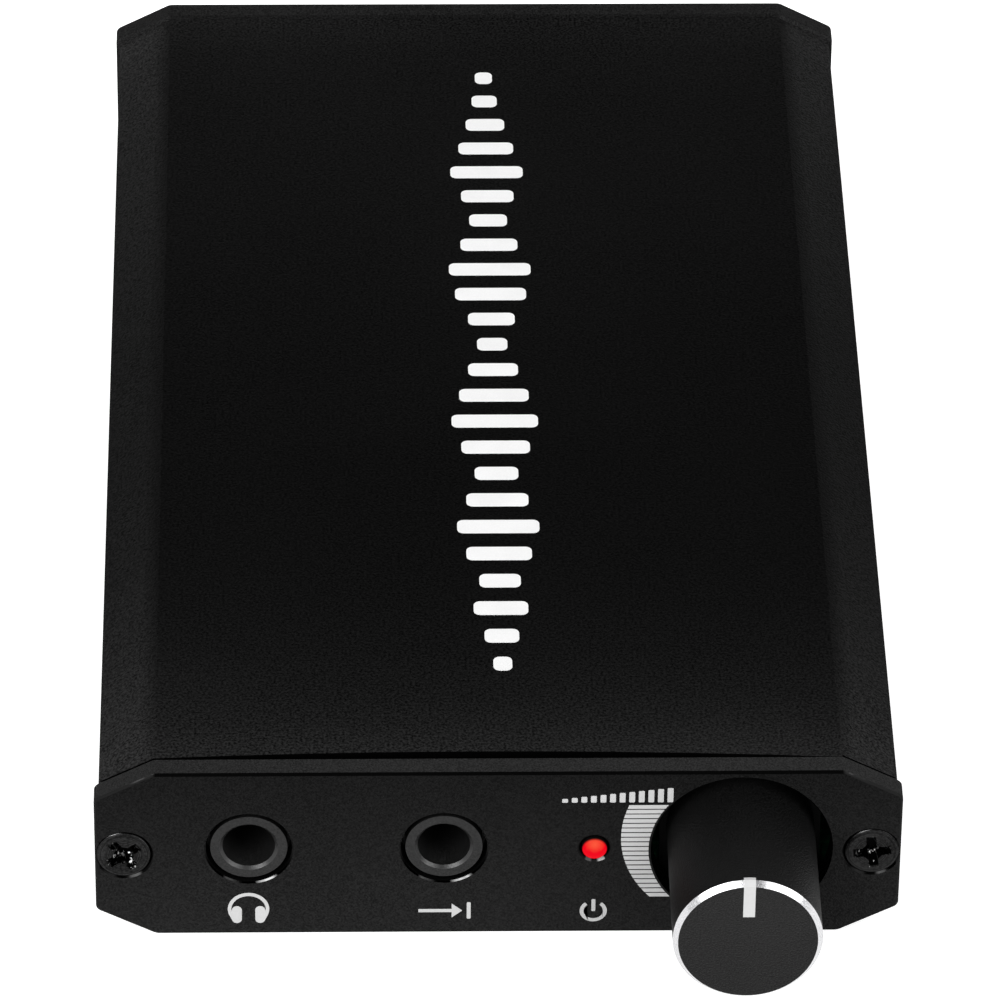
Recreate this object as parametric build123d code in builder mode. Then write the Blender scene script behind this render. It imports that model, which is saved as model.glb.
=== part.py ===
from build123d import *
import os
from math import radians, tan

os.makedirs("parts", exist_ok=True)

# Portable headphone amplifier, in millimetres.
# X runs to the right as the user sees the front, the front faces -Y and Z is up.
# The origin lies at the height of the table, in the middle of the whole length and width.

# ---------------------------------------------------------------- driving dimensions

# Case: an extruded sleeve between two end plates.
case_width = 55.0
case_height = 14.0
case_length = 95.0  # over both end plates
corner_run = 4.1  # bevelled corners of the section, along the width
corner_drop = 2.2  # and along the height
side_corner_round = 0.6  # of the plates, between bevel and side
flat_corner_round = 0.9  # and between bevel and top or bottom
plate_thickness = 1.6
plate_lip = 0.3  # the plates stand proud of the sleeve
plate_edge_bevel = 0.15
hole_edge_bevel = 0.1
sleeve_wall = 1.2
sleeve_end_bevel = 0.12

# The sawn ends of the sleeve are hollow, so its flat sides end short of the plates.
sleeve_end_dish = 1.16  # short by this at mid-width
sleeve_end_left = 0.55  # at the left end of the flat sides
sleeve_end_right = 0.38  # at their right end
sleeve_end_slant = 0.62  # and along the bevelled corners
sleeve_end_drop = 2.35  # from the top and from the bottom; the side walls meet the plates

# Case screws, cutting their thread in open channels of the sleeve.
screw_edge = 2.0  # centre of a screw from the side of its plate
screw_head_r = 1.9
screw_shank_r = 0.95
screw_shank_sides = 12
screw_length = 7.0
screw_recess_span = 2.3
screw_recess_width = 0.5
screw_recess_depth = 0.75
countersink_angle = 90
screw_clearance = 0.05
screw_seat_clearance = 0.12
channel_wall = 0.75
channel_sides = 8
channel_mouth = 1.1

# Circuit board in the slots of the sleeve.
board_thickness = 1.0
board_end_gap = 0.3
slot_clearance = 0.1
slot_depth = 1.1
slot_lip = 0.7
tail_stickout = 0.6  # solder tails below the board
tail_clearance = 0.12
hole_sides = 6  # of the small holes for tails and pins
sheet_thickness = 0.2
sheet_margin = 0.4

# Two 3.5 mm sockets.
jack_rise = 0.5  # axis above the middle of the case
headphone_side = 10.5  # axis from the side of the case
jack_pitch = 13.3
jack_bore_r = 1.8
jack_nose_r = 2.63
jack_hole_clearance = 0.32
jack_nose_recess = 0.2  # nose behind the face of the plate
jack_mouth_bevel = 0.2
jack_body_width = 6.6
jack_body_half_height = 2.75
jack_body_gap = 0.2  # body behind the plate
jack_plug_depth = 14.0  # from the nose to the closed end
jack_front_wall = 3.6
jack_side_wall = 0.5
jack_end_wall = 0.5
jack_peg_r = 0.5
jack_peg_sides = 8
spring_thickness = 0.2
spring_height = 1.1
spring_rest_r = 1.64  # inner face of the springs from the axis of the bore
spring_straight = 0.3  # share of a spring's run before it leans in
spring_crest = 0.8  # share of the run where it touches the plug

# Indicator lamps.
lamp_rise = 0.42  # above the middle of the case
lamp_r = 0.875
lamp_clearance = 0.1
lamp_hole_bevel = 0.2
lamp_base_width = 2.4
lamp_base = 0.5
lamp_proud = 0.15
lamp_dome = 0.5
lamp_length = 4.0
lead_width = 0.4
lead_spacing = 1.27
lead_run = 1.2
power_lamp_pitch = 10.05  # from the knob
charge_lamp_pitch = 12.5  # from the gain switch

# Volume knob and control.
knob_side = 10.88  # axis from the side of the case
knob_rise = 0.3  # axis above the middle of the case
knob_hole_margin = 0.57  # from the hole to the upper edge of the plate
knob_hole_gap = 1.06  # between hole and knob
knob_reach = 9.9  # face in front of the plate
knob_bevel = 0.35
knob_web = 1.6
knob_wall = 1.0
knob_tail = 0.8  # behind the inner face of the plate
pointer_width = 0.8
pointer_length = 2.95
pointer_depth = 0.6
press_clearance = 0.02
shaft_flat = 0.9  # depth of the flat of the shaft
shaft_clearance = 0.05
shaft_tip_gap = 0.25
insert_sides = 16
insert_clearance = 0.4  # end of the insert in front of the bushing
bushing_gap = 0.46  # inside the knob
bushing_wall = 0.5
bushing_length = 2.2
pot_gap = 0.4  # knob in front of the control
pot_clearance = 0.3  # under the roof of the sleeve
pot_depth = 5.6
pot_wall = 0.6
bracket_thickness = 0.6
bracket_cheek_depth = 4.2
bracket_cheek_height = 4.0
lug_width = 1.6
rotor_side_gap = 0.25
rotor_thickness = 1.1
rotor_gap = 0.3
spigot_width = 2.4  # square, it turns the rotor
track_thickness = 0.5
track_hole_r = 1.9
track_hole_sides = 12
wiper_thickness = 0.2
wiper_gap = 0.12
wiper_width = 2.2
wiper_finger_width = 0.9
pot_pin_pitch = 1.5
pot_pin_count = 6
pot_pin_run = 1.5
pot_pin_rise = 1.2
pin_width = 0.6
pin_thickness = 0.25
notch_clearance = 0.2

# Battery pack.
cell_side_room = 8.75  # board beside the cell
cell_front_room = 23.2  # between the sockets and the cell
cell_rear_room = 5.5  # between the cell and the charge socket
cell_thickness = 5.0
cell_edge_round = 1.6
cell_tape = 0.5
tape_width = 22.0
guard_depth = 3.0
guard_thickness = 1.2
wire_r = 0.45
wire_sides = 6
wire_pitch = 2.0
wire_shift = 3.0  # sideways step of the two wires
wire_bend_share = 0.45  # of the shorter run that an arc takes up
wire_length = 11.0  # from the pack to the plug, along the case
plug_width = 5.6
plug_height = 3.2
plug_depth = 4.0
header_wall = 0.5
header_depth = 5.2
header_pin_reach = 2.0
header_pin_run = 0.8

# Charge socket, at the rear.
socket_side = 14.5  # middle from the side of the case
socket_width = 7.7
socket_height = 3.9
socket_narrow = 0.85  # lower corners drawn in
socket_depth = 9.2
socket_wall = 0.35
socket_recess = 0.3  # mouth behind the face of the plate
socket_cut_clearance = 0.3
tongue_width = 4.6
tongue_thickness = 0.9
tongue_drop = 1.0  # below the upper wall of the shell
tongue_recess = 1.0
socket_block_depth = 2.6
contact_width = 0.4
contact_thickness = 0.13
contact_pitch = 0.8
contact_count = 5
socket_leg_width = 0.9
socket_leg_inset = 1.5

# Gain switch, at the rear.
switch_side = 13.5  # middle from the side of the case
switch_width = 8.6
switch_height = 3.6
switch_depth = 3.2
switch_wall = 0.3
switch_travel = 2.0
switch_reach = 1.4  # slider behind the rear plate
switch_gap = 0.2
slider_width = 3.6
slider_thickness = 1.1
stem_width = 1.8
stem_height = 1.3
stem_clearance = 0.2
base_thickness = 0.8
terminal_pitch = 2.0
terminal_head = 0.15
terminal_run = 1.0
bridge_thickness = 0.2
bridge_gap = 0.1

# Parts soldered on top of the board.
chip_length = 4.9
chip_width = 3.9
chip_height = 1.5
chip_standoff = 0.15
chip_pin_pitch = 1.27
chip_pin_width = 0.42
chip_pin_thickness = 0.22
chip_pin_reach = 1.05
chip_gap = 0.6
chip_row_gap = 2.5  # behind the battery plug
chip_knob_shift = 1.6  # second amplifier, inward from the knob's axis
can_r = 3.15
can_sides = 20
can_height = 5.3
can_base = 6.6
can_base_height = 1.0
can_base_bevel = 0.5
can_pitch = 7.4
can_gap = 3.4  # behind the sockets
can_edge = 11.75  # middle of the cans from the edge of the board
inductor_size = 5.0
inductor_height = 2.6
inductor_bevel = 0.8
inductor_shift = 4.0  # from the gain switch
charger_shift = 8.5  # from the charge socket
cell_gap = 1.0  # parts on the board behind the cell
chip_resistor_length = 1.6
chip_resistor_width = 0.8
chip_resistor_height = 0.5
resistor_pitch = 2.6

# ---------------------------------------------------------------- places worked out from them

overall_length = knob_reach + case_length + switch_reach
front_y = knob_reach - overall_length / 2  # outer face of the front plate
rear_y = front_y + case_length
front_inner_y = front_y + plate_thickness
rear_inner_y = rear_y - plate_thickness
middle_y = (front_y + rear_y) / 2
mid_height = case_height / 2
half_width = case_width / 2
flat_half = half_width - corner_run

inset = plate_lip + sleeve_wall
inner_half = half_width - inset
inner_floor = inset
inner_length = rear_inner_y - front_inner_y

headphone_x = headphone_side - half_width
line_in_x = headphone_x + jack_pitch
jack_height = mid_height + jack_rise
lamp_height = mid_height + lamp_rise
knob_x = half_width - knob_side
knob_height = mid_height + knob_rise
power_lamp_x = knob_x - power_lamp_pitch
socket_x = socket_side - half_width
switch_x = half_width - switch_side
charge_lamp_x = switch_x - charge_lamp_pitch

board_top = jack_height - jack_body_half_height
board_bottom = board_top - board_thickness
board_half = inner_half - slot_clearance
board_front_y = front_inner_y + board_end_gap
board_rear_y = rear_inner_y - board_end_gap
tail_end = board_bottom - tail_stickout

channel_bore_r = screw_shank_r + screw_clearance
channel_r = channel_bore_r + channel_wall
screw_seat_r = screw_head_r + screw_seat_clearance

front_face = Plane.XZ.offset(-front_y)
rear_face = Plane(origin=(0, rear_y, 0), x_dir=(-1, 0, 0), z_dir=(0, 1, 0))


def across(y):
    """Plane across the case at y, seen from the front; it extrudes towards the front."""
    return Plane.XZ.offset(-y)


def case_outline(inward):
    """Eight-sided outline of the case, moved inward by the same amount on every side."""
    right = [
        (flat_half, 0),
        (half_width, corner_drop),
        (half_width, case_height - corner_drop),
        (flat_half, case_height),
    ]
    left = [(-x, z) for x, z in reversed(right)]
    with BuildSketch() as outline:
        with BuildLine():
            Polyline(*right, *left, close=True)
        make_face()
        if inward:
            offset(amount=-inward, kind=Kind.INTERSECTION)
    return outline.sketch


# ---------------------------------------------------------------- sleeve


def screw_places():
    """Centres of the two case screws in a section of the case."""
    return [(side * (half_width - screw_edge), mid_height) for side in (-1, 1)]


slot_heights = (
    board_bottom - slot_clearance - slot_lip / 2,
    board_top + slot_clearance + slot_lip / 2,
)
slot_lip_places = [
    (side * (inner_half - slot_depth / 2), z) for side in (-1, 1) for z in slot_heights
]



def sleeve_end_cut():
    """Plan of what the sleeve lacks at both ends: hollow across its flat sides."""
    slant_y = front_inner_y + sleeve_end_slant
    with BuildSketch() as cut:
        with BuildLine():
            ThreePointArc(
                (-flat_half, front_inner_y + sleeve_end_left),
                (0, front_inner_y + sleeve_end_dish),
                (flat_half, front_inner_y + sleeve_end_right),
            )
            Polyline(
                (flat_half, front_inner_y + sleeve_end_right),
                (flat_half, slant_y),
                (half_width, slant_y),
                (half_width, front_inner_y),
                (-half_width, front_inner_y),
                (-half_width, slant_y),
                (-flat_half, slant_y),
                (-flat_half, front_inner_y + sleeve_end_left),
            )
        make_face()
        mirror(about=Plane.XZ.offset(-middle_y))
    return cut.sketch


with BuildPart() as sleeve:
    with BuildSketch(across(rear_inner_y)) as section:
        add(case_outline(plate_lip))
        add(case_outline(inset), mode=Mode.SUBTRACT)
        with Locations(*slot_lip_places):
            Rectangle(slot_depth + sleeve_wall, slot_lip)
        with Locations(*screw_places()):
            RegularPolygon(channel_r, channel_sides)
        add(case_outline(plate_lip), mode=Mode.INTERSECT)
        with Locations(*screw_places()):
            Circle(channel_bore_r, mode=Mode.SUBTRACT)
        for side, (x, z) in zip((-1, 1), screw_places()):
            with Locations((x - side * channel_r, z)):
                Rectangle(2 * channel_r, channel_mouth, mode=Mode.SUBTRACT)
    extrude(amount=inner_length)
    for end in (0, -1):
        rim = sleeve.faces().sort_by(Axis.Y)[end].outer_wire().edges()
        chamfer(rim, sleeve_end_bevel)
    for plane, way in ((Plane.XY, 1), (Plane.XY.offset(case_height), -1)):
        with BuildSketch(plane):
            add(sleeve_end_cut())
        extrude(amount=way * sleeve_end_drop, mode=Mode.SUBTRACT)
sleeve.part.label = "sleeve"

# ---------------------------------------------------------------- end plates

jack_hole_r = jack_nose_r + jack_hole_clearance
lamp_hole_r = lamp_r + lamp_clearance
knob_hole_r = mid_height - knob_rise - knob_hole_margin
slider_rest_x = switch_x - switch_travel / 2
socket_middle = board_top + socket_height / 2
switch_middle = board_top + switch_height / 2


def plate_blank(outer_y, inner_y):
    """End plate before drilling, with rounded corners and a bevelled outer edge."""
    with BuildPart() as blank:
        with BuildSketch(across(max(outer_y, inner_y))) as outline:
            add(case_outline(0))
            columns = outline.vertices().group_by(Axis.X)
            fillet(columns[1] + columns[2], flat_corner_round)
            columns = outline.vertices().group_by(Axis.X)
            fillet(columns[0] + columns[-1], side_corner_round)
        extrude(amount=plate_thickness)
        outer = 0 if outer_y < inner_y else -1
        chamfer(blank.faces().sort_by(Axis.Y)[outer].edges(), plate_edge_bevel)
    return blank.part


with BuildPart() as front_plate:
    add(plate_blank(front_y, front_inner_y))
    with Locations(front_face):
        with Locations(*screw_places()):
            CounterSinkHole(channel_bore_r, screw_seat_r, counter_sink_angle=countersink_angle)
        with Locations((power_lamp_x, lamp_height)):
            CounterSinkHole(lamp_hole_r, lamp_hole_r + lamp_hole_bevel, counter_sink_angle=90)
        with Locations((headphone_x, jack_height), (line_in_x, jack_height)):
            CounterSinkHole(jack_hole_r, jack_hole_r + hole_edge_bevel, counter_sink_angle=90)
        with Locations((knob_x, knob_height)):
            CounterSinkHole(knob_hole_r, knob_hole_r + hole_edge_bevel, counter_sink_angle=90)
front_plate.part.label = "front_plate"

with BuildPart() as rear_plate:
    add(plate_blank(rear_y, rear_inner_y))
    with Locations(rear_face):
        with Locations(*screw_places()):
            CounterSinkHole(channel_bore_r, screw_seat_r, counter_sink_angle=countersink_angle)
        with Locations((-charge_lamp_x, lamp_height)):
            Hole(lamp_hole_r)
    with BuildSketch(across(rear_y)):
        with Locations((socket_x, socket_middle)):
            RectangleRounded(
                socket_width + 2 * socket_cut_clearance,
                socket_height + 2 * socket_cut_clearance,
                socket_cut_clearance,
            )
        with Locations((switch_x, switch_middle)):
            Rectangle(
                stem_width + switch_travel + 2 * stem_clearance,
                stem_height + 2 * stem_clearance,
            )
    extrude(amount=plate_thickness, mode=Mode.SUBTRACT)
rear_plate.part.label = "rear_plate"

# ---------------------------------------------------------------- case screws


def case_screw():
    """Countersunk cross-recess screw with its head at z = 0, pointing down."""
    cone = (screw_head_r - screw_shank_r) / tan(radians(countersink_angle / 2))
    with BuildPart() as screw:
        with BuildSketch(Plane.XZ):
            with BuildLine():
                Polyline(
                    (0, 0),
                    (screw_head_r, 0),
                    (screw_shank_r, -cone),
                    (0, -cone),
                    close=True,
                )
            make_face()
        revolve(axis=Axis.Z)
        with BuildSketch(Plane.XY.offset(-cone)):
            RegularPolygon(screw_shank_r, screw_shank_sides)
        extrude(amount=cone - screw_length)
        with BuildSketch():
            Rectangle(screw_recess_span, screw_recess_width)
            Rectangle(screw_recess_width, screw_recess_span)
        extrude(amount=-screw_recess_depth, mode=Mode.SUBTRACT)
    return screw.part


def screw_pair(face):
    """The two screws of one end plate."""
    with BuildPart() as pair:
        with Locations(face):
            with Locations(*screw_places()):
                add(case_screw())
    return pair


front_screws = screw_pair(front_face)
front_screws.part.label = "front_screws"
rear_screws = screw_pair(rear_face)
rear_screws.part.label = "rear_screws"

# ---------------------------------------------------------------- sockets for the plugs

jack_nose_y = front_y + jack_nose_recess
jack_front_y = front_inner_y + jack_body_gap
jack_bore_end_y = jack_nose_y + jack_plug_depth
jack_rear_y = jack_bore_end_y + jack_end_wall
jack_body_height = jack_height + jack_body_half_height - board_top
pocket_front_y = jack_front_y + jack_front_wall
pocket_depth = jack_bore_end_y - pocket_front_y
spring_run = pocket_depth / 2 - spring_thickness
spring_outer = jack_body_width / 2 - jack_side_wall - spring_thickness
peg_y = jack_front_y + jack_front_wall / 2


def jack_body(axis_x):
    """Moulded body of a socket: round nose, bore, open spring pockets and two pegs."""
    with BuildPart() as body:
        with BuildSketch(across(jack_rear_y)):
            with Locations((axis_x, board_top + jack_body_height / 2)):
                Rectangle(jack_body_width, jack_body_height)
        extrude(amount=jack_rear_y - jack_front_y)
        chamfer(body.edges().filter_by(Axis.Y).group_by(Axis.Z)[-1], jack_side_wall)
        with BuildSketch(across(jack_front_y)):
            with Locations((axis_x, jack_height)):
                Circle(jack_nose_r)
        extrude(amount=jack_front_y - jack_nose_y)
        with BuildSketch(across(jack_bore_end_y)):
            with Locations((axis_x, jack_height)):
                Circle(jack_bore_r)
        extrude(amount=jack_plug_depth, mode=Mode.SUBTRACT)
        mouth = body.edges().filter_by(GeomType.CIRCLE).group_by(Axis.Y)[0]
        chamfer(mouth.sort_by(SortBy.RADIUS)[0], jack_mouth_bevel)
        pocket_width = jack_body_width / 2 - jack_side_wall
        pocket_top = jack_height + spring_height / 2 + tail_clearance
        with BuildSketch(Plane.XY.offset(board_top)):
            for side in (-1, 1):
                with Locations((axis_x + side * (spring_rest_r + pocket_width) / 2, 0)):
                    with Locations((0, pocket_front_y + pocket_depth / 2)):
                        Rectangle(pocket_width - spring_rest_r, pocket_depth)
        extrude(amount=pocket_top - board_top, mode=Mode.SUBTRACT)
        with BuildSketch(Plane.XY.offset(board_top)):
            for side in (-1, 1):
                with Locations((axis_x + side * jack_body_width / 4, peg_y)):
                    RegularPolygon(jack_peg_r, jack_peg_sides)
        extrude(amount=-board_thickness)
    return body


def jack_spring(axis_x, side, root_y):
    """Bent spring along the side of the bore, with its solder tail at the root."""
    outer = axis_x + side * (spring_outer + spring_thickness / 2)
    rest = axis_x + side * (spring_rest_r + spring_thickness / 2)
    with BuildPart() as spring:
        with BuildSketch(Plane.XY.offset(jack_height)):
            with BuildLine():
                Polyline(
                    (outer, root_y),
                    (outer, root_y - spring_straight * spring_run),
                    (rest, root_y - spring_crest * spring_run),
                    ((rest + outer) / 2, root_y - spring_run),
                )
            trace(line_width=spring_thickness)
        extrude(amount=spring_height / 2, both=True)
        with BuildSketch(Plane.XY.offset(jack_height)):
            with Locations((outer, root_y - pin_width / 2)):
                Rectangle(spring_thickness, pin_width)
        extrude(amount=tail_end - jack_height)
    return spring.part


spring_roots = (pocket_front_y + pocket_depth / 2, jack_bore_end_y - tail_clearance)


def jack_contacts(axis_x):
    """The four springs of one socket."""
    with BuildPart() as contacts:
        for side in (-1, 1):
            for root_y in spring_roots:
                add(jack_spring(axis_x, side, root_y))
    return contacts


headphone_jack_body = jack_body(headphone_x)
headphone_jack_body.part.label = "headphone_jack_body"
headphone_jack_contacts = jack_contacts(headphone_x)
headphone_jack_contacts.part.label = "headphone_jack_contacts"
line_in_jack_body = jack_body(line_in_x)
line_in_jack_body.part.label = "line_in_jack_body"
line_in_jack_contacts = jack_contacts(line_in_x)
line_in_jack_contacts.part.label = "line_in_jack_contacts"

# ---------------------------------------------------------------- indicator lamps


def lamp():
    """Lamp looking along +Z with its face plane at z = 0: dome, barrel and square base."""
    back = lamp_proud - lamp_length
    shoulder = lamp_proud - lamp_dome
    dome_r = (lamp_r**2 + lamp_dome**2) / (2 * lamp_dome)
    with BuildPart() as lens:
        with BuildSketch(Plane.XZ):
            with BuildLine():
                RadiusArc((0, lamp_proud), (lamp_r, shoulder), dome_r)
                Polyline(
                    (lamp_r, shoulder),
                    (lamp_r, back + lamp_base),
                    (0, back + lamp_base),
                    (0, lamp_proud),
                )
            make_face()
        revolve(axis=Axis.Z)
        with BuildSketch(Plane.XY.offset(back)):
            Rectangle(lamp_base_width, lamp_base_width)
        extrude(amount=lamp_base)
    return lens.part


def lamp_leads():
    """Two square leads from the back of the lamp that bend down through the board."""
    back = lamp_proud - lamp_length
    with BuildPart() as leads:
        for side in (-1, 1):
            with BuildSketch(Plane.YZ.offset(side * lead_spacing / 2)):
                with BuildLine():
                    Polyline(
                        (0, back),
                        (0, back - lead_run),
                        (tail_end - lamp_height, back - lead_run),
                    )
                trace(line_width=lead_width)
            extrude(amount=lead_width / 2, both=True)
    return leads.part


def placed_lamp(face, x, make):
    """A piece of a lamp, put behind its hole in an end plate."""
    with BuildPart() as piece:
        with Locations(face):
            with Locations((x, lamp_height)):
                add(make())
    return piece


power_led = placed_lamp(front_face, power_lamp_x, lamp)
power_led.part.label = "power_led"
power_led_leads = placed_lamp(front_face, power_lamp_x, lamp_leads)
power_led_leads.part.label = "power_led_leads"
charge_led = placed_lamp(rear_face, -charge_lamp_x, lamp)
charge_led.part.label = "charge_led"
charge_led_leads = placed_lamp(rear_face, -charge_lamp_x, lamp_leads)
charge_led_leads.part.label = "charge_led_leads"

# ---------------------------------------------------------------- knob

knob_face_y = front_y - knob_reach
knob_rear_y = front_inner_y + knob_tail
knob_web_y = knob_face_y + knob_web
knob_r = knob_hole_r - knob_hole_gap
knob_bore_r = knob_r - knob_wall
bushing_r = knob_bore_r - bushing_gap
shaft_r = bushing_r - bushing_wall - shaft_clearance
pot_face_y = knob_rear_y + pot_gap
bushing_front_y = pot_face_y - bushing_length
insert_rear_y = bushing_front_y - insert_clearance
insert_length = insert_rear_y - knob_web_y
shaft_tip_y = knob_web_y + shaft_tip_gap
knob_centre = (knob_x, knob_height)


def round_bar(y, length, radius):
    """Plain round length on the axis of the knob, ending at y and running forward."""
    with BuildPart() as bar:
        with BuildSketch(across(y)):
            with Locations(knob_centre):
                Circle(radius)
        extrude(amount=length)
    return bar.part


def knob_blank():
    """The knob's outer shape, with its bevelled rim."""
    with BuildPart() as blank:
        add(round_bar(knob_rear_y, knob_rear_y - knob_face_y, knob_r))
        chamfer(blank.faces().sort_by(Axis.Y)[0].edges(), knob_bevel)
    return blank.part


def pointer_bar():
    """Inlay of the pointer: from the rim towards the axis, flush with face, bevel and side."""
    with BuildPart() as bar:
        with BuildSketch(across(knob_face_y + pointer_depth)):
            with Locations((knob_x, knob_height + knob_r - pointer_length / 2)):
                Rectangle(pointer_width, pointer_length)
        extrude(amount=pointer_depth)
        add(knob_blank(), mode=Mode.INTERSECT)
    return bar.part


with BuildPart() as knob_shell:
    add(knob_blank())
    add(round_bar(knob_rear_y, knob_rear_y - knob_web_y, knob_bore_r), mode=Mode.SUBTRACT)
    add(pointer_bar(), mode=Mode.SUBTRACT)
knob_shell.part.label = "knob_shell"

with BuildPart() as knob_pointer:
    add(pointer_bar())
knob_pointer.part.label = "knob_pointer"


def flatted_circle(radius, flat_height):
    """Round section of the shaft with its flat on the lower side."""
    with BuildSketch() as section:
        Circle(radius)
        with Locations((0, -flat_height - radius)):
            Rectangle(2 * radius, 2 * radius, mode=Mode.SUBTRACT)
    return section.sketch


with BuildPart() as knob_insert:
    with BuildSketch(across(insert_rear_y)):
        with Locations(knob_centre):
            RegularPolygon(knob_bore_r - press_clearance, insert_sides)
    extrude(amount=insert_length)
    with BuildSketch(across(insert_rear_y)):
        with Locations(knob_centre):
            add(flatted_circle(shaft_r + press_clearance, shaft_r - shaft_flat + press_clearance))
    extrude(amount=insert_rear_y - shaft_tip_y, mode=Mode.SUBTRACT)
knob_insert.part.label = "knob_insert"

# ---------------------------------------------------------------- volume control

pot_half = mid_height - inset - knob_rise - pot_clearance
pot_width = 2 * pot_half
pot_body_front_y = pot_face_y + bracket_thickness
pot_rear_y = pot_body_front_y + pot_depth
pot_cavity_half = pot_half - pot_wall
rotor_r = pot_cavity_half - rotor_side_gap
pot_floor_y = pot_rear_y - pot_wall
track_face_y = pot_floor_y - track_thickness
rotor_front_y = pot_body_front_y + rotor_gap
rotor_rear_y = rotor_front_y + rotor_thickness
finger_tip_y = track_face_y - wiper_gap
lug_y = pot_body_front_y + bracket_cheek_depth / 2
lug_x = pot_half + bracket_thickness / 2

with BuildPart() as pot_bracket:
    with BuildSketch(across(pot_body_front_y)):
        with Locations(knob_centre):
            Rectangle(pot_width + 2 * bracket_thickness, pot_width)
    extrude(amount=bracket_thickness)
    add(round_bar(pot_face_y, bushing_length, bushing_r))
    for side in (-1, 1):
        with BuildSketch(Plane.YZ.offset(knob_x + side * lug_x)):
            with Locations((pot_body_front_y + bracket_cheek_depth / 2, knob_height)):
                Rectangle(bracket_cheek_depth, bracket_cheek_height)
            with Locations((lug_y, (knob_height + tail_end) / 2)):
                Rectangle(lug_width, knob_height - tail_end)
        extrude(amount=bracket_thickness / 2, both=True)
    add(
        round_bar(pot_body_front_y, pot_body_front_y - bushing_front_y, shaft_r + shaft_clearance),
        mode=Mode.SUBTRACT,
    )
pot_bracket.part.label = "pot_bracket"

with BuildPart() as pot_body:
    with BuildSketch(across(pot_rear_y)):
        with Locations(knob_centre):
            Rectangle(pot_width, pot_width)
    extrude(amount=pot_depth)
    with BuildSketch(across(pot_floor_y)):
        with Locations(knob_centre):
            Rectangle(2 * pot_cavity_half, 2 * pot_cavity_half)
    extrude(amount=pot_floor_y - pot_body_front_y, mode=Mode.SUBTRACT)
pot_body.part.label = "pot_body"

with BuildPart() as pot_track:
    track_width = 2 * (pot_cavity_half - press_clearance)
    with BuildSketch(across(pot_floor_y)):
        with Locations(knob_centre):
            Rectangle(track_width, track_width)
            RegularPolygon(track_hole_r, track_hole_sides, mode=Mode.SUBTRACT)
    extrude(amount=track_thickness)
pot_track.part.label = "pot_track"

with BuildPart() as pot_shaft:
    add(round_bar(rotor_front_y, rotor_front_y - shaft_tip_y, shaft_r))
    with BuildSketch(across(rotor_rear_y)):
        with Locations(knob_centre):
            Rectangle(spigot_width, spigot_width)
    extrude(amount=rotor_thickness)
    with BuildSketch(across(insert_rear_y)):
        with Locations(knob_centre):
            Circle(shaft_r)
            add(flatted_circle(shaft_r, shaft_r - shaft_flat), mode=Mode.SUBTRACT)
    extrude(amount=insert_rear_y - shaft_tip_y, mode=Mode.SUBTRACT)
pot_shaft.part.label = "pot_shaft"

with BuildPart() as pot_rotor:
    with BuildSketch(across(rotor_rear_y)):
        with Locations(knob_centre):
            Circle(rotor_r)
            key_width = spigot_width + 2 * press_clearance
            Rectangle(key_width, key_width, mode=Mode.SUBTRACT)
    extrude(amount=rotor_thickness)
pot_rotor.part.label = "pot_rotor"

with BuildPart() as pot_wiper:
    with BuildSketch(across(rotor_rear_y + wiper_thickness)):
        with Locations(knob_centre):
            Rectangle(2 * (rotor_r - wiper_width / 2), wiper_width)
    extrude(amount=wiper_thickness)
    for side in (-1, 1):
        finger_x = knob_x + side * (rotor_r + spigot_width / 2) / 2
        with BuildSketch(across(finger_tip_y)):
            with Locations((finger_x, knob_height)):
                Rectangle(wiper_finger_width, wiper_thickness)
        extrude(amount=finger_tip_y - rotor_rear_y - wiper_thickness)
pot_wiper.part.label = "pot_wiper"


def bent_pin(x, from_y, to_y, z):
    """Flat pin that runs level, its top at height z, and turns down through the board at to_y."""
    turn_y = to_y - pin_thickness if to_y > from_y else to_y + pin_thickness
    with BuildPart() as pin:
        with BuildSketch(Plane.YZ.offset(x)):
            with BuildLine():
                Polyline(
                    (from_y, z),
                    (to_y, z),
                    (to_y, tail_end),
                    (turn_y, tail_end),
                    (turn_y, z - pin_thickness),
                    (from_y, z - pin_thickness),
                    close=True,
                )
            make_face()
        extrude(amount=pin_width / 2, both=True)
    return pin.part


pot_pin_first = -(pot_pin_count - 1) / 2
pot_pin_places = [knob_x + (pot_pin_first + i) * pot_pin_pitch for i in range(pot_pin_count)]
pot_pin_rear_y = pot_rear_y + pot_pin_run
pot_pin_height = board_top + pot_pin_rise

with BuildPart() as pot_terminals:
    for x in pot_pin_places:
        add(bent_pin(x, pot_rear_y, pot_pin_rear_y, pot_pin_height))
pot_terminals.part.label = "pot_terminals"

# ---------------------------------------------------------------- battery pack

cell_front_y = jack_rear_y + cell_front_room
cell_rear_y = rear_y - socket_recess - socket_depth - cell_rear_room
cell_length = cell_rear_y - cell_front_y
cell_width = 2 * (board_half - cell_side_room)
cell_bottom = board_top + cell_tape
cell_middle = cell_bottom + cell_thickness / 2
guard_front_y = cell_front_y - guard_depth

with BuildPart() as battery_cell:
    with BuildSketch(across(cell_rear_y)):
        with Locations((0, cell_middle)):
            RectangleRounded(cell_width, cell_thickness, cell_edge_round)
    extrude(amount=cell_length)
battery_cell.part.label = "battery_cell"

with BuildPart() as battery_tape:
    with BuildSketch(Plane.XY.offset(board_top)):
        with Locations((0, cell_front_y + cell_length / 2)):
            Rectangle(tape_width, cell_length)
    extrude(amount=cell_tape)
battery_tape.part.label = "battery_tape"

with BuildPart() as battery_guard:
    with BuildSketch(across(cell_front_y)):
        with Locations((0, cell_middle)):
            Rectangle(cell_width - 2 * cell_edge_round, guard_thickness)
    extrude(amount=guard_depth)
battery_guard.part.label = "battery_guard"

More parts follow.
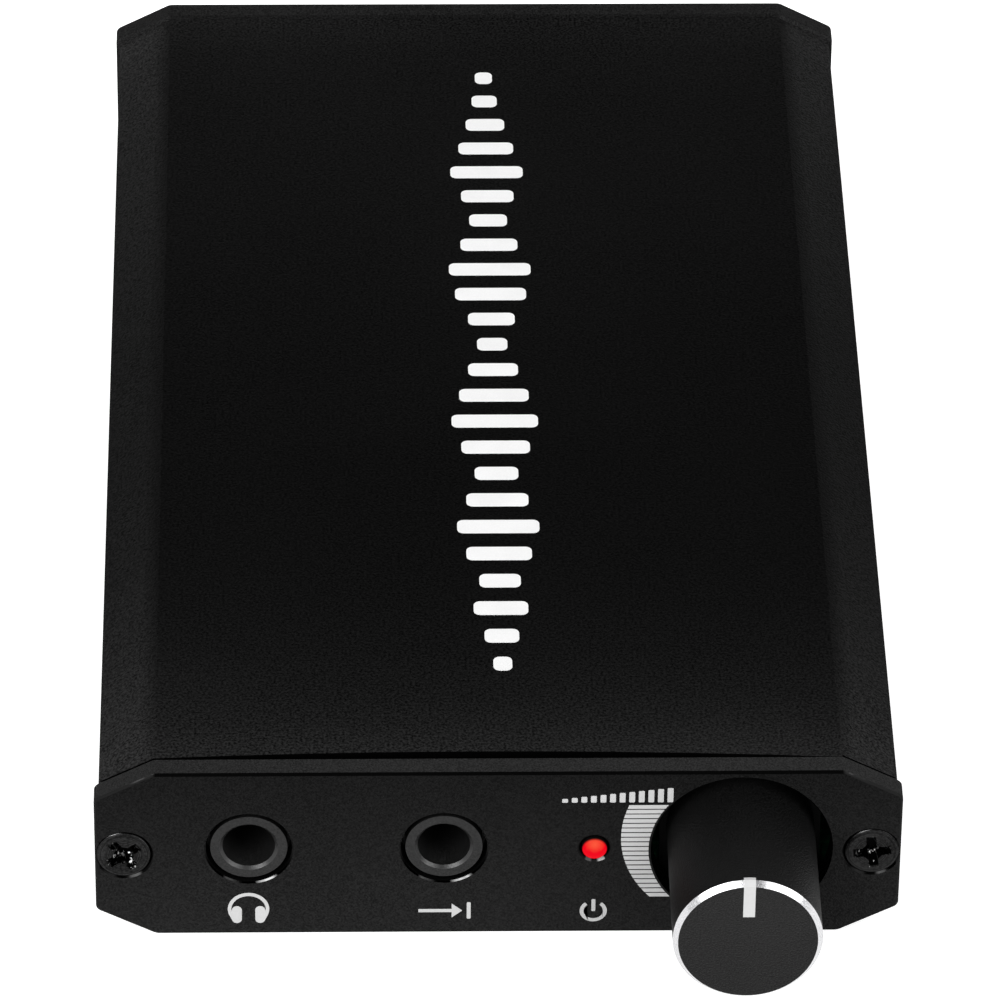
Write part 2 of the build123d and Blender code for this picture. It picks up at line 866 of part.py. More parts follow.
plug_rear_y = guard_front_y - wire_length
plug_middle = board_top + header_wall + plug_height / 2
plug_front_y = plug_rear_y - plug_depth
header_front_y = plug_rear_y - header_depth
header_pin_tip_y = plug_front_y + header_pin_reach
header_pin_rear_y = header_front_y - header_pin_run
header_pin_places = [wire_shift + side * wire_pitch / 2 for side in (-1, 1)]


def battery_wire(side):
    """One wire from the pack to its plug: straight ends and one sideways step."""
    start_x = side * wire_pitch / 2
    end_x = start_x + wire_shift
    run = wire_length / 3
    points = [
        (start_x, guard_front_y, cell_middle),
        (start_x, guard_front_y - run, cell_middle),
        (end_x, plug_rear_y + run, plug_middle),
        (end_x, plug_rear_y, plug_middle),
    ]
    slant = Vector(*points[2]) - Vector(*points[1])
    turn = slant.get_angle(Vector(0, -1, 0))
    bend = wire_bend_share * min(run, slant.length) / tan(radians(turn / 2))
    with BuildPart() as wire:
        with BuildLine() as route:
            FilletPolyline(*points, radius=[bend, bend])
        with BuildSketch(Plane(origin=route.line @ 0, z_dir=route.line % 0)):
            RegularPolygon(wire_r, wire_sides)
        sweep(path=route.line)
    return wire


battery_lead_red = battery_wire(-1)
battery_lead_red.part.label = "battery_lead_red"
battery_lead_black = battery_wire(1)
battery_lead_black.part.label = "battery_lead_black"

with BuildPart() as battery_plug:
    with BuildSketch(across(plug_rear_y)):
        with Locations((wire_shift, plug_middle)):
            Rectangle(plug_width, plug_height)
    extrude(amount=plug_depth)
    with BuildSketch(across(header_pin_tip_y + tail_clearance)):
        with Locations(*[(x, plug_middle) for x in header_pin_places]):
            Rectangle(pin_width + 2 * press_clearance, pin_thickness + 2 * press_clearance)
    extrude(amount=plug_depth, mode=Mode.SUBTRACT)
battery_plug.part.label = "battery_plug"

with BuildPart() as battery_header:
    with BuildSketch(across(plug_rear_y)):
        with Locations((wire_shift, plug_middle)):
            Rectangle(plug_width + 2 * header_wall, plug_height + 2 * header_wall)
    extrude(amount=header_depth)
    with BuildSketch(across(plug_rear_y)):
        with Locations((wire_shift, plug_middle + header_wall / 2)):
            Rectangle(plug_width + 2 * press_clearance, plug_height + header_wall)
    extrude(amount=plug_depth, mode=Mode.SUBTRACT)
    with BuildSketch(across(plug_rear_y)):
        with Locations(*[(x, plug_middle) for x in header_pin_places]):
            Rectangle(pin_width + 2 * press_clearance, pin_thickness + 2 * press_clearance)
    extrude(amount=header_depth, mode=Mode.SUBTRACT)
battery_header.part.label = "battery_header"

with BuildPart() as battery_header_pins:
    for x in header_pin_places:
        add(bent_pin(x, header_pin_tip_y, header_pin_rear_y, plug_middle + pin_thickness / 2))
battery_header_pins.part.label = "battery_header_pins"

# ---------------------------------------------------------------- charge socket

socket_mouth_y = rear_y - socket_recess
socket_inner_y = socket_mouth_y - socket_depth
tongue_middle = board_top + socket_height - socket_wall - tongue_drop - tongue_thickness / 2


def socket_outline(inward):
    """Mouth of the charge socket: a rectangle whose lower corners are drawn in."""
    half = socket_width / 2
    with BuildSketch() as outline:
        with BuildLine():
            Polyline(
                (-half, socket_height),
                (half, socket_height),
                (half, socket_height / 2),
                (half - socket_narrow, 0),
                (socket_narrow - half, 0),
                (-half, socket_height / 2),
                close=True,
            )
        make_face()
        if inward:
            offset(amount=-inward, kind=Kind.INTERSECTION)
    return outline.sketch


socket_legs_y = (socket_inner_y + socket_leg_inset, rear_inner_y - socket_leg_inset)

with BuildPart() as charge_socket_shell:
    with BuildSketch(across(socket_mouth_y)):
        with Locations((socket_x, board_top)):
            add(socket_outline(0))
            add(socket_outline(socket_wall), mode=Mode.SUBTRACT)
    extrude(amount=socket_depth)
    for side in (-1, 1):
        leg_top = board_top + socket_height / 2
        with BuildSketch(Plane.YZ.offset(socket_x + side * (socket_width - socket_wall) / 2)):
            with Locations(*[(y, (leg_top + tail_end) / 2) for y in socket_legs_y]):
                Rectangle(socket_leg_width, leg_top - tail_end)
        extrude(amount=socket_wall / 2, both=True)
charge_socket_shell.part.label = "charge_socket_shell"

with BuildPart() as charge_socket_insulator:
    with BuildSketch(across(socket_inner_y + socket_block_depth)):
        with Locations((socket_x, board_top)):
            add(socket_outline(socket_wall + press_clearance))
        with Locations((socket_x, tongue_middle - tongue_thickness / 2 - socket_height / 2)):
            Rectangle(tongue_width, socket_height, mode=Mode.SUBTRACT)
    extrude(amount=socket_block_depth)
    with BuildSketch(across(socket_mouth_y - tongue_recess)):
        with Locations((socket_x, tongue_middle)):
            Rectangle(tongue_width, tongue_thickness)
    extrude(amount=socket_depth - tongue_recess)
charge_socket_insulator.part.label = "charge_socket_insulator"

contact_first = -(contact_count - 1) / 2
contact_places = [socket_x + (contact_first + i) * contact_pitch for i in range(contact_count)]
contact_middle = tongue_middle - (tongue_thickness + contact_thickness) / 2
contact_foot = board_top + contact_thickness / 2

with BuildPart() as charge_socket_contacts:
    for x in contact_places:
        with BuildSketch(Plane.YZ.offset(x)):
            with BuildLine():
                Polyline(
                    (socket_mouth_y - tongue_recess - contact_width, contact_middle),
                    (socket_inner_y - contact_width, contact_middle),
                    (socket_inner_y - contact_width, contact_foot),
                    (socket_inner_y - 3 * contact_width, contact_foot),
                )
            trace(line_width=contact_thickness)
        extrude(amount=contact_width / 2, both=True)
charge_socket_contacts.part.label = "charge_socket_contacts"

# ---------------------------------------------------------------- gain switch

switch_rear_y = rear_inner_y - switch_gap
switch_front_y = switch_rear_y - switch_depth
slider_rear_y = switch_rear_y - switch_wall - bridge_gap
slider_front_y = slider_rear_y - slider_thickness
base_rear_y = switch_front_y + base_thickness
terminal_places = [switch_x + i * terminal_pitch for i in (-1, 0, 1)]
terminal_end_y = switch_front_y - terminal_run
switch_leg_x = (switch_width - switch_wall) / 2

with BuildPart() as gain_switch_frame:
    with BuildSketch(across(switch_rear_y)):
        with Locations((switch_x, switch_middle)):
            Rectangle(switch_width, switch_height)
    extrude(amount=switch_depth)
    with BuildSketch(across(switch_rear_y - switch_wall)):
        with Locations((switch_x, switch_middle)):
            Rectangle(switch_width - 2 * switch_wall, switch_height - 2 * switch_wall)
    extrude(amount=switch_depth, mode=Mode.SUBTRACT)
    with BuildSketch(across(switch_rear_y)):
        with Locations((switch_x, switch_middle)):
            Rectangle(
                stem_width + switch_travel + 2 * stem_clearance,
                stem_height + 2 * stem_clearance,
            )
    extrude(amount=switch_wall, mode=Mode.SUBTRACT)
    for side in (-1, 1):
        with BuildSketch(Plane.YZ.offset(switch_x + side * switch_leg_x)):
            with Locations((switch_rear_y - switch_depth / 2, (switch_middle + tail_end) / 2)):
                Rectangle(socket_leg_width, switch_middle - tail_end)
        extrude(amount=switch_wall / 2, both=True)
gain_switch_frame.part.label = "gain_switch_frame"

with BuildPart() as gain_switch_base:
    with BuildSketch(across(base_rear_y)):
        with Locations((switch_x, switch_middle)):
            Rectangle(
                switch_width - 2 * switch_wall - 2 * press_clearance,
                switch_height - 2 * switch_wall - 2 * press_clearance,
            )
        with Locations(*[(x, switch_middle) for x in terminal_places]):
            Rectangle(
                pin_width + 2 * press_clearance,
                pin_thickness + 2 * press_clearance,
                mode=Mode.SUBTRACT,
            )
    extrude(amount=base_thickness)
gain_switch_base.part.label = "gain_switch_base"

with BuildPart() as gain_switch_terminals:
    for x in terminal_places:
        add(bent_pin(x, base_rear_y + terminal_head, terminal_end_y, switch_middle + pin_thickness / 2))
gain_switch_terminals.part.label = "gain_switch_terminals"

with BuildPart() as gain_slider:
    with BuildSketch(across(slider_rear_y)):
        with Locations((slider_rest_x, switch_middle)):
            Rectangle(slider_width, switch_height - 2 * switch_wall - 2 * stem_clearance)
    extrude(amount=slider_thickness)
    with BuildSketch(across(rear_y + switch_reach)):
        with Locations((slider_rest_x, switch_middle)):
            Rectangle(stem_width, stem_height)
    extrude(amount=rear_y + switch_reach - slider_rear_y)
gain_slider.part.label = "gain_slider"

with BuildPart() as gain_bridge:
    with BuildSketch(across(slider_front_y)):
        with Locations((slider_rest_x, switch_middle)):
            Rectangle(terminal_pitch + pin_width, pin_width)
    extrude(amount=bridge_thickness)
    with BuildSketch(across(slider_front_y - bridge_thickness)):
        with Locations(*[(slider_rest_x + side * terminal_pitch / 2, switch_middle) for side in (-1, 1)]):
            Rectangle(pin_width, pin_thickness)
    extrude(amount=slider_front_y - bridge_thickness - base_rear_y - terminal_head - bridge_gap)
gain_bridge.part.label = "gain_bridge"

# ---------------------------------------------------------------- parts on the board

can_block_x = can_edge - board_half
can_row_y = jack_rear_y + can_gap + can_base / 2
chip_half_depth = chip_width / 2 + chip_pin_reach
first_amplifier_x = can_block_x + (can_pitch + can_base + chip_length) / 2 + chip_gap
amplifier_places = [
    (first_amplifier_x, plug_rear_y + chip_row_gap + chip_half_depth),
    (knob_x - chip_knob_shift, can_row_y),
]
charger_place = (socket_x + charger_shift, cell_rear_y + cell_gap + chip_half_depth)
inductor_place = (switch_x - inductor_shift, cell_rear_y + cell_gap + inductor_size / 2)


def chip_body(place):
    """Moulded package lying a little above the board, with sloping sides."""
    with BuildPart() as body:
        with BuildSketch(Plane.XY.offset(board_top + chip_standoff)):
            with Locations(place):
                Rectangle(chip_length, chip_width)
        extrude(amount=chip_height, taper=5)
    return body.part


def chip_pins(place):
    """Eight gull-wing pins, four on each long side."""
    x, y = place
    pin_top = board_top + chip_standoff + chip_height / 2
    with BuildPart() as pins:
        for side in (-1, 1):
            inner = y + side * chip_width / 2
            for i in range(4):
                with BuildSketch(Plane.YZ.offset(x + (i - 1.5) * chip_pin_pitch)):
                    with BuildLine():
                        Polyline(
                            (inner, pin_top),
                            (inner + side * chip_pin_reach * 0.4, pin_top),
                            (inner + side * chip_pin_reach * 0.5, board_top + chip_pin_thickness / 2),
                            (inner + side * chip_pin_reach, board_top + chip_pin_thickness / 2),
                        )
                    trace(line_width=chip_pin_thickness)
                extrude(amount=chip_pin_width / 2, both=True)
    return pins.part


with BuildPart() as amplifier_chips:
    for place in amplifier_places:
        add(chip_body(place))
amplifier_chips.part.label = "amplifier_chips"

with BuildPart() as amplifier_chip_leads:
    for place in amplifier_places:
        add(chip_pins(place))
amplifier_chip_leads.part.label = "amplifier_chip_leads"

with BuildPart() as charger_chip:
    add(chip_body(charger_place))
charger_chip.part.label = "charger_chip"

with BuildPart() as charger_chip_leads:
    add(chip_pins(charger_place))
charger_chip_leads.part.label = "charger_chip_leads"

can_places = [
    (can_block_x + i * can_pitch, can_row_y + j * can_pitch)
    for i in (-0.5, 0.5)
    for j in (0, 1)
]

with BuildPart() as filter_capacitor_bases:
    with BuildSketch(Plane.XY.offset(board_top)):
        with Locations(*can_places):
            Rectangle(can_base, can_base)
    extrude(amount=can_base_height)
    chamfer(filter_capacitor_bases.edges().filter_by(Axis.Z), can_base_bevel)
filter_capacitor_bases.part.label = "filter_capacitor_bases"

with BuildPart() as filter_capacitor_cans:
    with BuildSketch(Plane.XY.offset(board_top + can_base_height)):
        with Locations(*can_places):
            RegularPolygon(can_r, can_sides)
    extrude(amount=can_height)
filter_capacitor_cans.part.label = "filter_capacitor_cans"

with BuildPart() as boost_inductor:
    with BuildSketch(Plane.XY.offset(board_top)):
        with Locations(inductor_place):
            Rectangle(inductor_size, inductor_size)
    extrude(amount=inductor_height)
    chamfer(boost_inductor.edges().filter_by(Axis.Z), inductor_bevel)
boost_inductor.part.label = "boost_inductor"

resistor_rows = [
    (x, cell_front_y + cell_length / 2 + i * resistor_pitch)
    for x in (-(cell_width / 2 + resistor_pitch), cell_width / 2 + resistor_pitch)
    for i in range(-4, 5)
]

with BuildPart() as chip_resistors:
    with BuildSketch(Plane.XY.offset(board_top)):
        with Locations(*resistor_rows):
            Rectangle(chip_resistor_length, chip_resistor_width)
    extrude(amount=chip_resistor_height)
chip_resistors.part.label = "chip_resistors"

# ---------------------------------------------------------------- circuit board

spring_tail_x = spring_outer + spring_thickness / 2
jack_tail_places = [
    (axis_x + side * spring_tail_x, root_y - pin_width / 2)
    for axis_x in (headphone_x, line_in_x)
    for side in (-1, 1)
    for root_y in spring_roots
]
jack_peg_places = [
    (axis_x + side * jack_body_width / 4, peg_y)
    for axis_x in (headphone_x, line_in_x)
    for side in (-1, 1)
]
lead_inward = lamp_length - lamp_proud + lead_run
lead_places = [
    (lamp_x + side * lead_spacing / 2, y)
    for lamp_x, y in (
        (power_lamp_x, front_y + lead_inward),
        (charge_lamp_x, rear_y - lead_inward),
    )
    for side in (-1, 1)
]
pin_hole_r = pin_width / 2 + tail_clearance

with BuildPart() as main_board:
    with BuildSketch(Plane.XY.offset(board_bottom)):
        with Locations((0, (board_front_y + board_rear_y) / 2)):
            Rectangle(2 * board_half, board_rear_y - board_front_y)
        notch_end_y = pot_rear_y + notch_clearance
        with Locations((knob_x, (board_front_y + notch_end_y) / 2)):
            Rectangle(
                pot_width + 2 * notch_clearance, notch_end_y - board_front_y, mode=Mode.SUBTRACT
            )
        with Locations((knob_x, (board_front_y + pot_body_front_y + notch_clearance) / 2)):
            Rectangle(
                pot_width + 2 * bracket_thickness + 2 * notch_clearance,
                pot_body_front_y + notch_clearance - board_front_y,
                mode=Mode.SUBTRACT,
            )
        with Locations(*[(knob_x + side * lug_x, lug_y) for side in (-1, 1)]):
            Rectangle(
                bracket_thickness + 2 * tail_clearance,
                lug_width + 2 * tail_clearance,
                mode=Mode.SUBTRACT,
            )
        with Locations(*jack_tail_places):
            RegularPolygon(pin_hole_r, hole_sides, mode=Mode.SUBTRACT)
        with Locations(*jack_peg_places):
            RegularPolygon(jack_peg_r + press_clearance, jack_peg_sides, mode=Mode.SUBTRACT)
        with Locations(*lead_places):
            RegularPolygon(pin_hole_r, hole_sides, mode=Mode.SUBTRACT)
        with Locations(*[(x, pot_pin_rear_y - pin_thickness / 2) for x in pot_pin_places]):
            RegularPolygon(pin_hole_r, hole_sides, mode=Mode.SUBTRACT)
        with Locations(*[(x, header_pin_rear_y + pin_thickness / 2) for x in header_pin_places]):
            RegularPolygon(pin_hole_r, hole_sides, mode=Mode.SUBTRACT)
        with Locations(*[(x, terminal_end_y + pin_thickness / 2) for x in terminal_places]):
            RegularPolygon(pin_hole_r, hole_sides, mode=Mode.SUBTRACT)
        shell_leg_x = (socket_width - socket_wall) / 2
        with Locations(*[(socket_x + side * shell_leg_x, y) for side in (-1, 1) for y in socket_legs_y]):
            Rectangle(
                socket_wall + 2 * tail_clearance,
                socket_leg_width + 2 * tail_clearance,
                mode=Mode.SUBTRACT,
            )
        switch_leg_y = switch_rear_y - switch_depth / 2
        with Locations(*[(switch_x + side * switch_leg_x, switch_leg_y) for side in (-1, 1)]):
            Rectangle(
                switch_wall + 2 * tail_clearance,
                socket_leg_width + 2 * tail_clearance,
                mode=Mode.SUBTRACT,
            )
    extrude(amount=board_thickness)
main_board.part.label = "main_board"

with BuildPart() as insulation_sheet:
    with BuildSketch(Plane.XY.offset(inner_floor)):
        with Locations((0, middle_y)):
            Rectangle(2 * (flat_half - sheet_margin) - inset, inner_length - 2 * sheet_margin)
    extrude(amount=sheet_thickness)
insulation_sheet.part.label = "insulation_sheet"

# ---------------------------------------------------------------- files

pieces = (
    sleeve,
    front_plate,
    rear_plate,
    front_screws,
    rear_screws,
    headphone_jack_body,
    headphone_jack_contacts,
    line_in_jack_body,
    line_in_jack_contacts,
    power_led,
    power_led_leads,
    charge_led,
    charge_led_leads,
    knob_shell,
    knob_pointer,
    knob_insert,
    pot_bracket,
    pot_body,
    pot_track,
    pot_shaft,
    pot_rotor,
    pot_wiper,
    pot_terminals,
    battery_cell,
    battery_tape,
    battery_guard,
    battery_lead_red,
    battery_lead_black,
    battery_plug,
    battery_header,
    battery_header_pins,
    charge_socket_shell,
    charge_socket_insulator,
    charge_socket_contacts,
    gain_switch_frame,
    gain_switch_base,
    gain_switch_terminals,
    gain_slider,
    gain_bridge,
    amplifier_chips,
    amplifier_chip_leads,
    charger_chip,
    charger_chip_leads,
    filter_capacitor_bases,
    filter_capacitor_cans,
    boost_inductor,
    chip_resistors,
    main_board,
    insulation_sheet,
)
for piece in pieces:
    export_step(piece.part, f"parts/{piece.part.label}.step")
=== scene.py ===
import math

import bmesh
import bpy
from mathutils import Matrix, Vector


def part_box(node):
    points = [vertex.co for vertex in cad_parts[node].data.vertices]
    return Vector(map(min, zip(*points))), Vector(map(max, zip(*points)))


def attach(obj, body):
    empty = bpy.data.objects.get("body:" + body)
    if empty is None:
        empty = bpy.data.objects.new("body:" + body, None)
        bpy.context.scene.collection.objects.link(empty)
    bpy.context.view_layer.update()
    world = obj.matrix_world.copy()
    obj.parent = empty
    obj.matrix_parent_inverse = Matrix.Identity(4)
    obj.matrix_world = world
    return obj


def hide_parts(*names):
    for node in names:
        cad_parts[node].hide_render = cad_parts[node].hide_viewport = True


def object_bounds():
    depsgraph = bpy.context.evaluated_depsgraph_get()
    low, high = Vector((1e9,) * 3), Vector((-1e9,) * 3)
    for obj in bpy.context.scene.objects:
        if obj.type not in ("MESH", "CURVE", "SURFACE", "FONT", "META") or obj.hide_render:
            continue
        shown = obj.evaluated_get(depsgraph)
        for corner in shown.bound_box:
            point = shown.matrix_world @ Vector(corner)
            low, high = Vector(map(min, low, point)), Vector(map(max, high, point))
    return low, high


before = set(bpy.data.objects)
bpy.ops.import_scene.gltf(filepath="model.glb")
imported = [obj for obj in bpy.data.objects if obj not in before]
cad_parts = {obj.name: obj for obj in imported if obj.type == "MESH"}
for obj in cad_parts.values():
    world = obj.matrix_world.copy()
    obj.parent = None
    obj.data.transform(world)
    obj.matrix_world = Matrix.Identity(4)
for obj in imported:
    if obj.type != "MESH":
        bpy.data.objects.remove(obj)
cad_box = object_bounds()

MM = 0.001

# -------------------- sizes, in millimetres

# Printed marks. They lie on the finished metal like a cured ink.
ink_depth = 0.02
scale_bars = 20
scale_bar_pitch = 0.405
scale_bar_height = 0.31
scale_foot = 3.16  # lowest bar above the foot of the plate
scale_hole_gap = 0.14  # between the bars and the knob's opening
scale_back_middle = (16.0907607, 8.3880007)  # of the arc along its outer edge
scale_back_r = 7.7309782
wedge_span = (4.3, 11.85)
wedge_foot = 11.42
wedge_rise = (0.32, 1.22)
wedge_bars = 12
wedge_bar_width = 0.4
mark_corner = 0.08  # rounding of small bars and strokes
sign_height = 2.0  # middle of the signs above the foot of the plate
sign_stroke = 0.27
arrow_length = 3.0
arrow_head = 0.72
arrow_flare = 0.85  # half the head's width, against its length
arrow_stop_gap = 0.45
power_sign_r = 0.8
power_sign_drop = 0.08  # middle of its ring, below the signs' middle
power_sign_ends = (128, 412)  # degrees
power_stroke_rise = 0.42
power_stroke_length = 1.05

# Headphones sign: a band that is thickest at its crown, and two cups. Heights are from the band's middle.
phones_shift = 0.06  # left of the socket's middle
phones_height = 2.22
phones_r = 1.42
phones_stroke = 0.24
band_swell = 0.03
band_end = 5  # degrees below level
cup_back_end = 20  # degrees below level
cup_x = 0.8
cup_r = 0.34
cup_top = -0.09
cup_foot = -0.89

# Sound-wave motif along the top of the case, from the front face.
wave_start = 11.7
wave_end = 85.8
wave_bar = 1.55
wave_corner = 0.45
wave_lean = 0.5  # middle of the motif, right of the middle of the case
wave_lengths = (
    1.3, 2.4, 3.8, 2.9, 4.6, 5.8, 4.4, 3.1, 4.9, 6.2, 5.0, 3.6,
    2.2, 3.4, 5.2, 6.0, 4.2, 2.8, 3.9, 5.4, 4.1, 2.9, 1.9, 1.3,
)

# Bevelled corners of the case's section.
corner_run = 4.1
corner_drop = 2.2

# Case screws.
screw_x = 25.5  # from the middle of the plate
screw_head_r = 1.86
screw_shank_r = 0.95
screw_length = 7.0
head_edge_round = 0.12
head_edge_drop = 0.02
neck_length = 0.1
point_length = 0.5
point_share = 0.4  # of the core's radius, at the very end
recess_span = 2.6
recess_width = 0.7
recess_corner = 0.28  # the cross opens towards its middle
corner_flat = 0.02
recess_depth = 1.0
# Down the recess: share of its depth, and the shares of its span and width left there.
recess_taper = ((-0.3, 1.1, 1.1), (0.0, 1.0, 1.0), (0.7, 0.6, 0.75), (1.0, 0.3, 0.4))
thread_pitch = 0.6
thread_depth = 0.17
thread_height = 0.98  # of its depth, left at the crests
thread_sharpness = 1.6
thread_rows = 92
screw_steps = 32  # points round the screw
same_size = 1e-4  # two radii nearer than this are one
# How far each cross happens to stand turned, and where its head has settled in its seat.
screw_stand = {
    "front": ((36, -0.05, -0.03), (6, 0.05, -0.02)),
    "rear": ((-15, 0.03, -0.03), (38, -0.02, -0.04)),
}

# Power lamp.
lamp_r = 0.86
lamp_proud = 0.03
lamp_dome = 0.28
lamp_dome_turns = (0, 0.25, 0.5, 0.75, 1.0, 1.3)  # radians up from the dome's edge
lamp_base_r = 1.2
lamp_base = 0.5
lamp_steps = 40

# Ring that closes the joint between the case and its rear plate.
joint_length = 1.6
joint_wall = 0.6
joint_proud = 0.003

# -------------------- tones

# Blasted surfaces, in metres.
tooth_size = 0.00012
sleeve_tooth_size = 0.00018
tooth_depth = 0.00008
plain_contrast = 0.5  # how far the tooth stands off its tone
deep_contrast = 0.9
socket_contrast = 0.7
matt = (0.5, 0.65)  # roughness
noise_reach = (0.3, 0.7)  # nearly all of a noise lies between these
level_limit = 0.9  # a surface that faces along an axis this squarely is flat
# Along the case, from the front face (0) to the rear face (1): painted light and shade, pale near both ends
# and darkest in the middle, the bevels painted lighter than the top.
flat_painted_light_tones = (
    (0.030, 0.0152), (0.037, 0.0138), (0.049, 0.0122), (0.0605, 0.0106), (0.0955, 0.0077),
    (0.1486, 0.0052), (0.2026, 0.0040), (0.2573, 0.0034), (0.369, 0.0032), (0.543, 0.0037),
    (0.663, 0.0042), (0.787, 0.0047), (0.866, 0.0050), (0.935, 0.0062), (0.97, 0.0088), (0.985, 0.0115),
)
bevel_painted_light_tones = (
    (0.037, 0.0205), (0.0605, 0.0174), (0.0955, 0.0146), (0.1486, 0.0117), (0.2026, 0.0099),
    (0.2573, 0.0083), (0.369, 0.0071), (0.543, 0.0071), (0.663, 0.0090), (0.787, 0.0110),
    (0.866, 0.0132), (0.935, 0.0153), (0.97, 0.0180),
)
painted_shade_across = (1.0, 0.82)  # painted shade: the case is darker towards the right
fold_blend = 1.1  # mm over which the top's tone turns into the bevel's
sawn_limit = 0.5  # a sawn end faces along the case more than this
# painted shade: the sawn ends, seen in the joints, are nearly black
sawn_end_painted_shade = 0.001

# End plates. Gaps and reaches are in millimetres, gaps from the plate's outline inwards.
face_painted_shade_tones = (0.0143, 0.0071)  # painted shade, from the foot to the top: the face darkens upwards
band_painted_light_tones = (0.0208, 0.0120)  # round the front plate and round the rear plate: painted light, the front plate's sides lighter
lip_shares = (0.85, 1.55)  # of the band's tone, on the inner face: level sides, slanted corners; the corners painted lighter
# painted shade: the walls inside the holes are nearly black
hole_wall_painted_shade = 0.002
# bright-cut metal of the hole rims, with painted glints: it reflects only where it faces the lamps
rim_glint_tone = 0.14
hole_rim_roughness = 0.2
# painted shade: a dark line along the level top and foot edges, on their bevel and on the face beside it
edge_painted_shade = 0.0008
slanted_edge_tone = 0.012
corner_tone = 0.035
corner_blend = 0.1
side_gap = 0.05
glint_gap = 0.07
brink_gap = 0.2
outline_gap = 0.3
glint_run = (1.2, 1.7)  # from the corner: the glint is whole, the glint has ended
seat_reach = 4.3  # the screws' seats, from the plate's side
# painted shade in the screws' seats, which also take a share of the rims' painted glint
seat_painted_shade = 0.003
seat_share = 0.12  # of a hole rim's light
left_rim_share = 0.12  # of the light on a rim's right
# Stretches of a rim that carry painted glints where they face the lamps, by how far they face sideways: dark,
# lit, still lit, dark.
rim_lit_right = (-0.46, -0.4, -0.2, -0.1)
rim_lit_left = (0.42, 0.36, 0.18, 0.1)
rim_lit_up = 0.45
lamp_hole_reach = 1.4
lamp_rim = (1.0, 1.1)  # here the hole's painted shade ends and the face's tone begins
lamp_painted_glints = (0.09, 0.4)  # painted glints below the lamp, left and right

# Screws.
screw_tones = (0.003, 0.042)
# tone of the worn patches in the recess and of the painted highlight on the head's edge
screw_wear_and_glint_tone = 0.6
rings_per_metre = 14000.0
head_rim_reach = 1.5  # mm from the axis: the recess lies within, the head's edge beyond
recess_shade_depth = 0.1
recess_shade_share = 0.2
lit_way = (-0.34, 0.94)  # the head's edge is painted bright where it faces this way, across and up: a painted highlight
lit_way_reach = (0.6, 0.68)

knob_face_tone = 0.0085
knob_side_tone = 0.0040
knob_rim_colours = ((0.4, 0.4, 0.41, 1.0), (0.62, 0.62, 0.63, 1.0))
socket_face_tone = 0.013
# painted shade: the bore and the other sides, darker than the front and back faces
socket_bore_painted_shade = 0.009
socket_mouth_tone = 0.05

# Lamp lenses.
lens_fade = 0.16  # mm of depth over which the glow dies
lens_core = (0.1, 0.9)  # shares of the reach: the core ends, the skin begins
lens_unevenness = (0.88, 1.12)
lens_edge = (0.3, 0.8, 0.5, 1.0)  # how squarely it faces forward, and the shares of the glow there

# -------------------- places on the frame

plate_low, plate_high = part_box("front_plate")
rear_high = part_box("rear_plate")[1]
sleeve_low, sleeve_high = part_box("sleeve")


def middle_of(node):
    """Middle of a node's box."""
    low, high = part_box(node)
    return (low + high) / 2


# -------------------- mesh helpers


def tidy_mesh(name, built, smooth_below=0.0):
    """Writes a bmesh out with its faces turned outwards; edges flatter than the angle shade smooth."""
    bmesh.ops.recalc_face_normals(built, faces=built.faces)
    if smooth_below:
        for face in built.faces:
            face.smooth = True
        for edge in built.edges:
            edge.smooth = len(edge.link_faces) == 2 and edge.calc_face_angle() < smooth_below
    made = bpy.data.meshes.new(name)
    built.to_mesh(made)
    built.free()
    return made


def add_piece(name, built, finish, body, smooth_below=0.0):
    """Puts a built form into the scene as a piece that rides on a body."""
    made = tidy_mesh(name, built, smooth_below)
    made.materials.append(finish)
    piece = bpy.data.objects.new(name, made)
    bpy.context.scene.collection.objects.link(piece)
    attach(piece, body)
    return piece


# -------------------- flat outlines for the printing


def arc_point(centre, radius, angle):
    """Point on a circle, angle in degrees."""
    turn = math.radians(angle)
    return (centre[0] + radius * math.cos(turn), centre[1] + radius * math.sin(turn))


def arc_points(centre, radius, start, end, steps):
    """Points on an arc, angles in degrees."""
    return [arc_point(centre, radius, start + (end - start) * i / steps) for i in range(steps + 1)]


def rounded_bar(centre, width, height, corner, steps=5):
    """Rectangle with round corners."""
    x, y = width / 2 - corner, height / 2 - corner
    outline = []
    for cx, cy, start in ((x, y, 0), (-x, y, 90), (-x, -y, 180), (x, -y, 270)):
        outline += arc_points((centre[0] + cx, centre[1] + cy), corner, start, start + 90, steps)
    return outline


def arc_band(centre, radius, stroke, start, end, steps=40):
    """Stroke of even width along an arc."""
    outer = arc_points(centre, radius + stroke / 2, start, end, steps)
    inner = arc_points(centre, radius - stroke / 2, end, start, steps)
    return outer + inner


def print_ink(name, outlines, place, lift, finish):
    """Marks of a thin, even layer of ink: each outline is laid on the surface and given its depth."""
    built = bmesh.new()
    for outline in outlines:
        points = [place(a, b) for a, b in outline]
        low = [built.verts.new(point) for point in points]
        high = [built.verts.new(point + lift * ink_depth * MM) for point in points]
        built.faces.new(low)
        built.faces.new(high)
        for i in range(len(outline)):
            j = (i + 1) % len(outline)
            built.faces.new((low[i], low[j], high[j], high[i]))
    bmesh.ops.triangulate(built, faces=[f for f in built.faces if len(f.verts) > 4])
    add_piece(name, built, finish, "case")


# -------------------- shader helpers


def grey(value):
    return (value, value, value, 1.0)


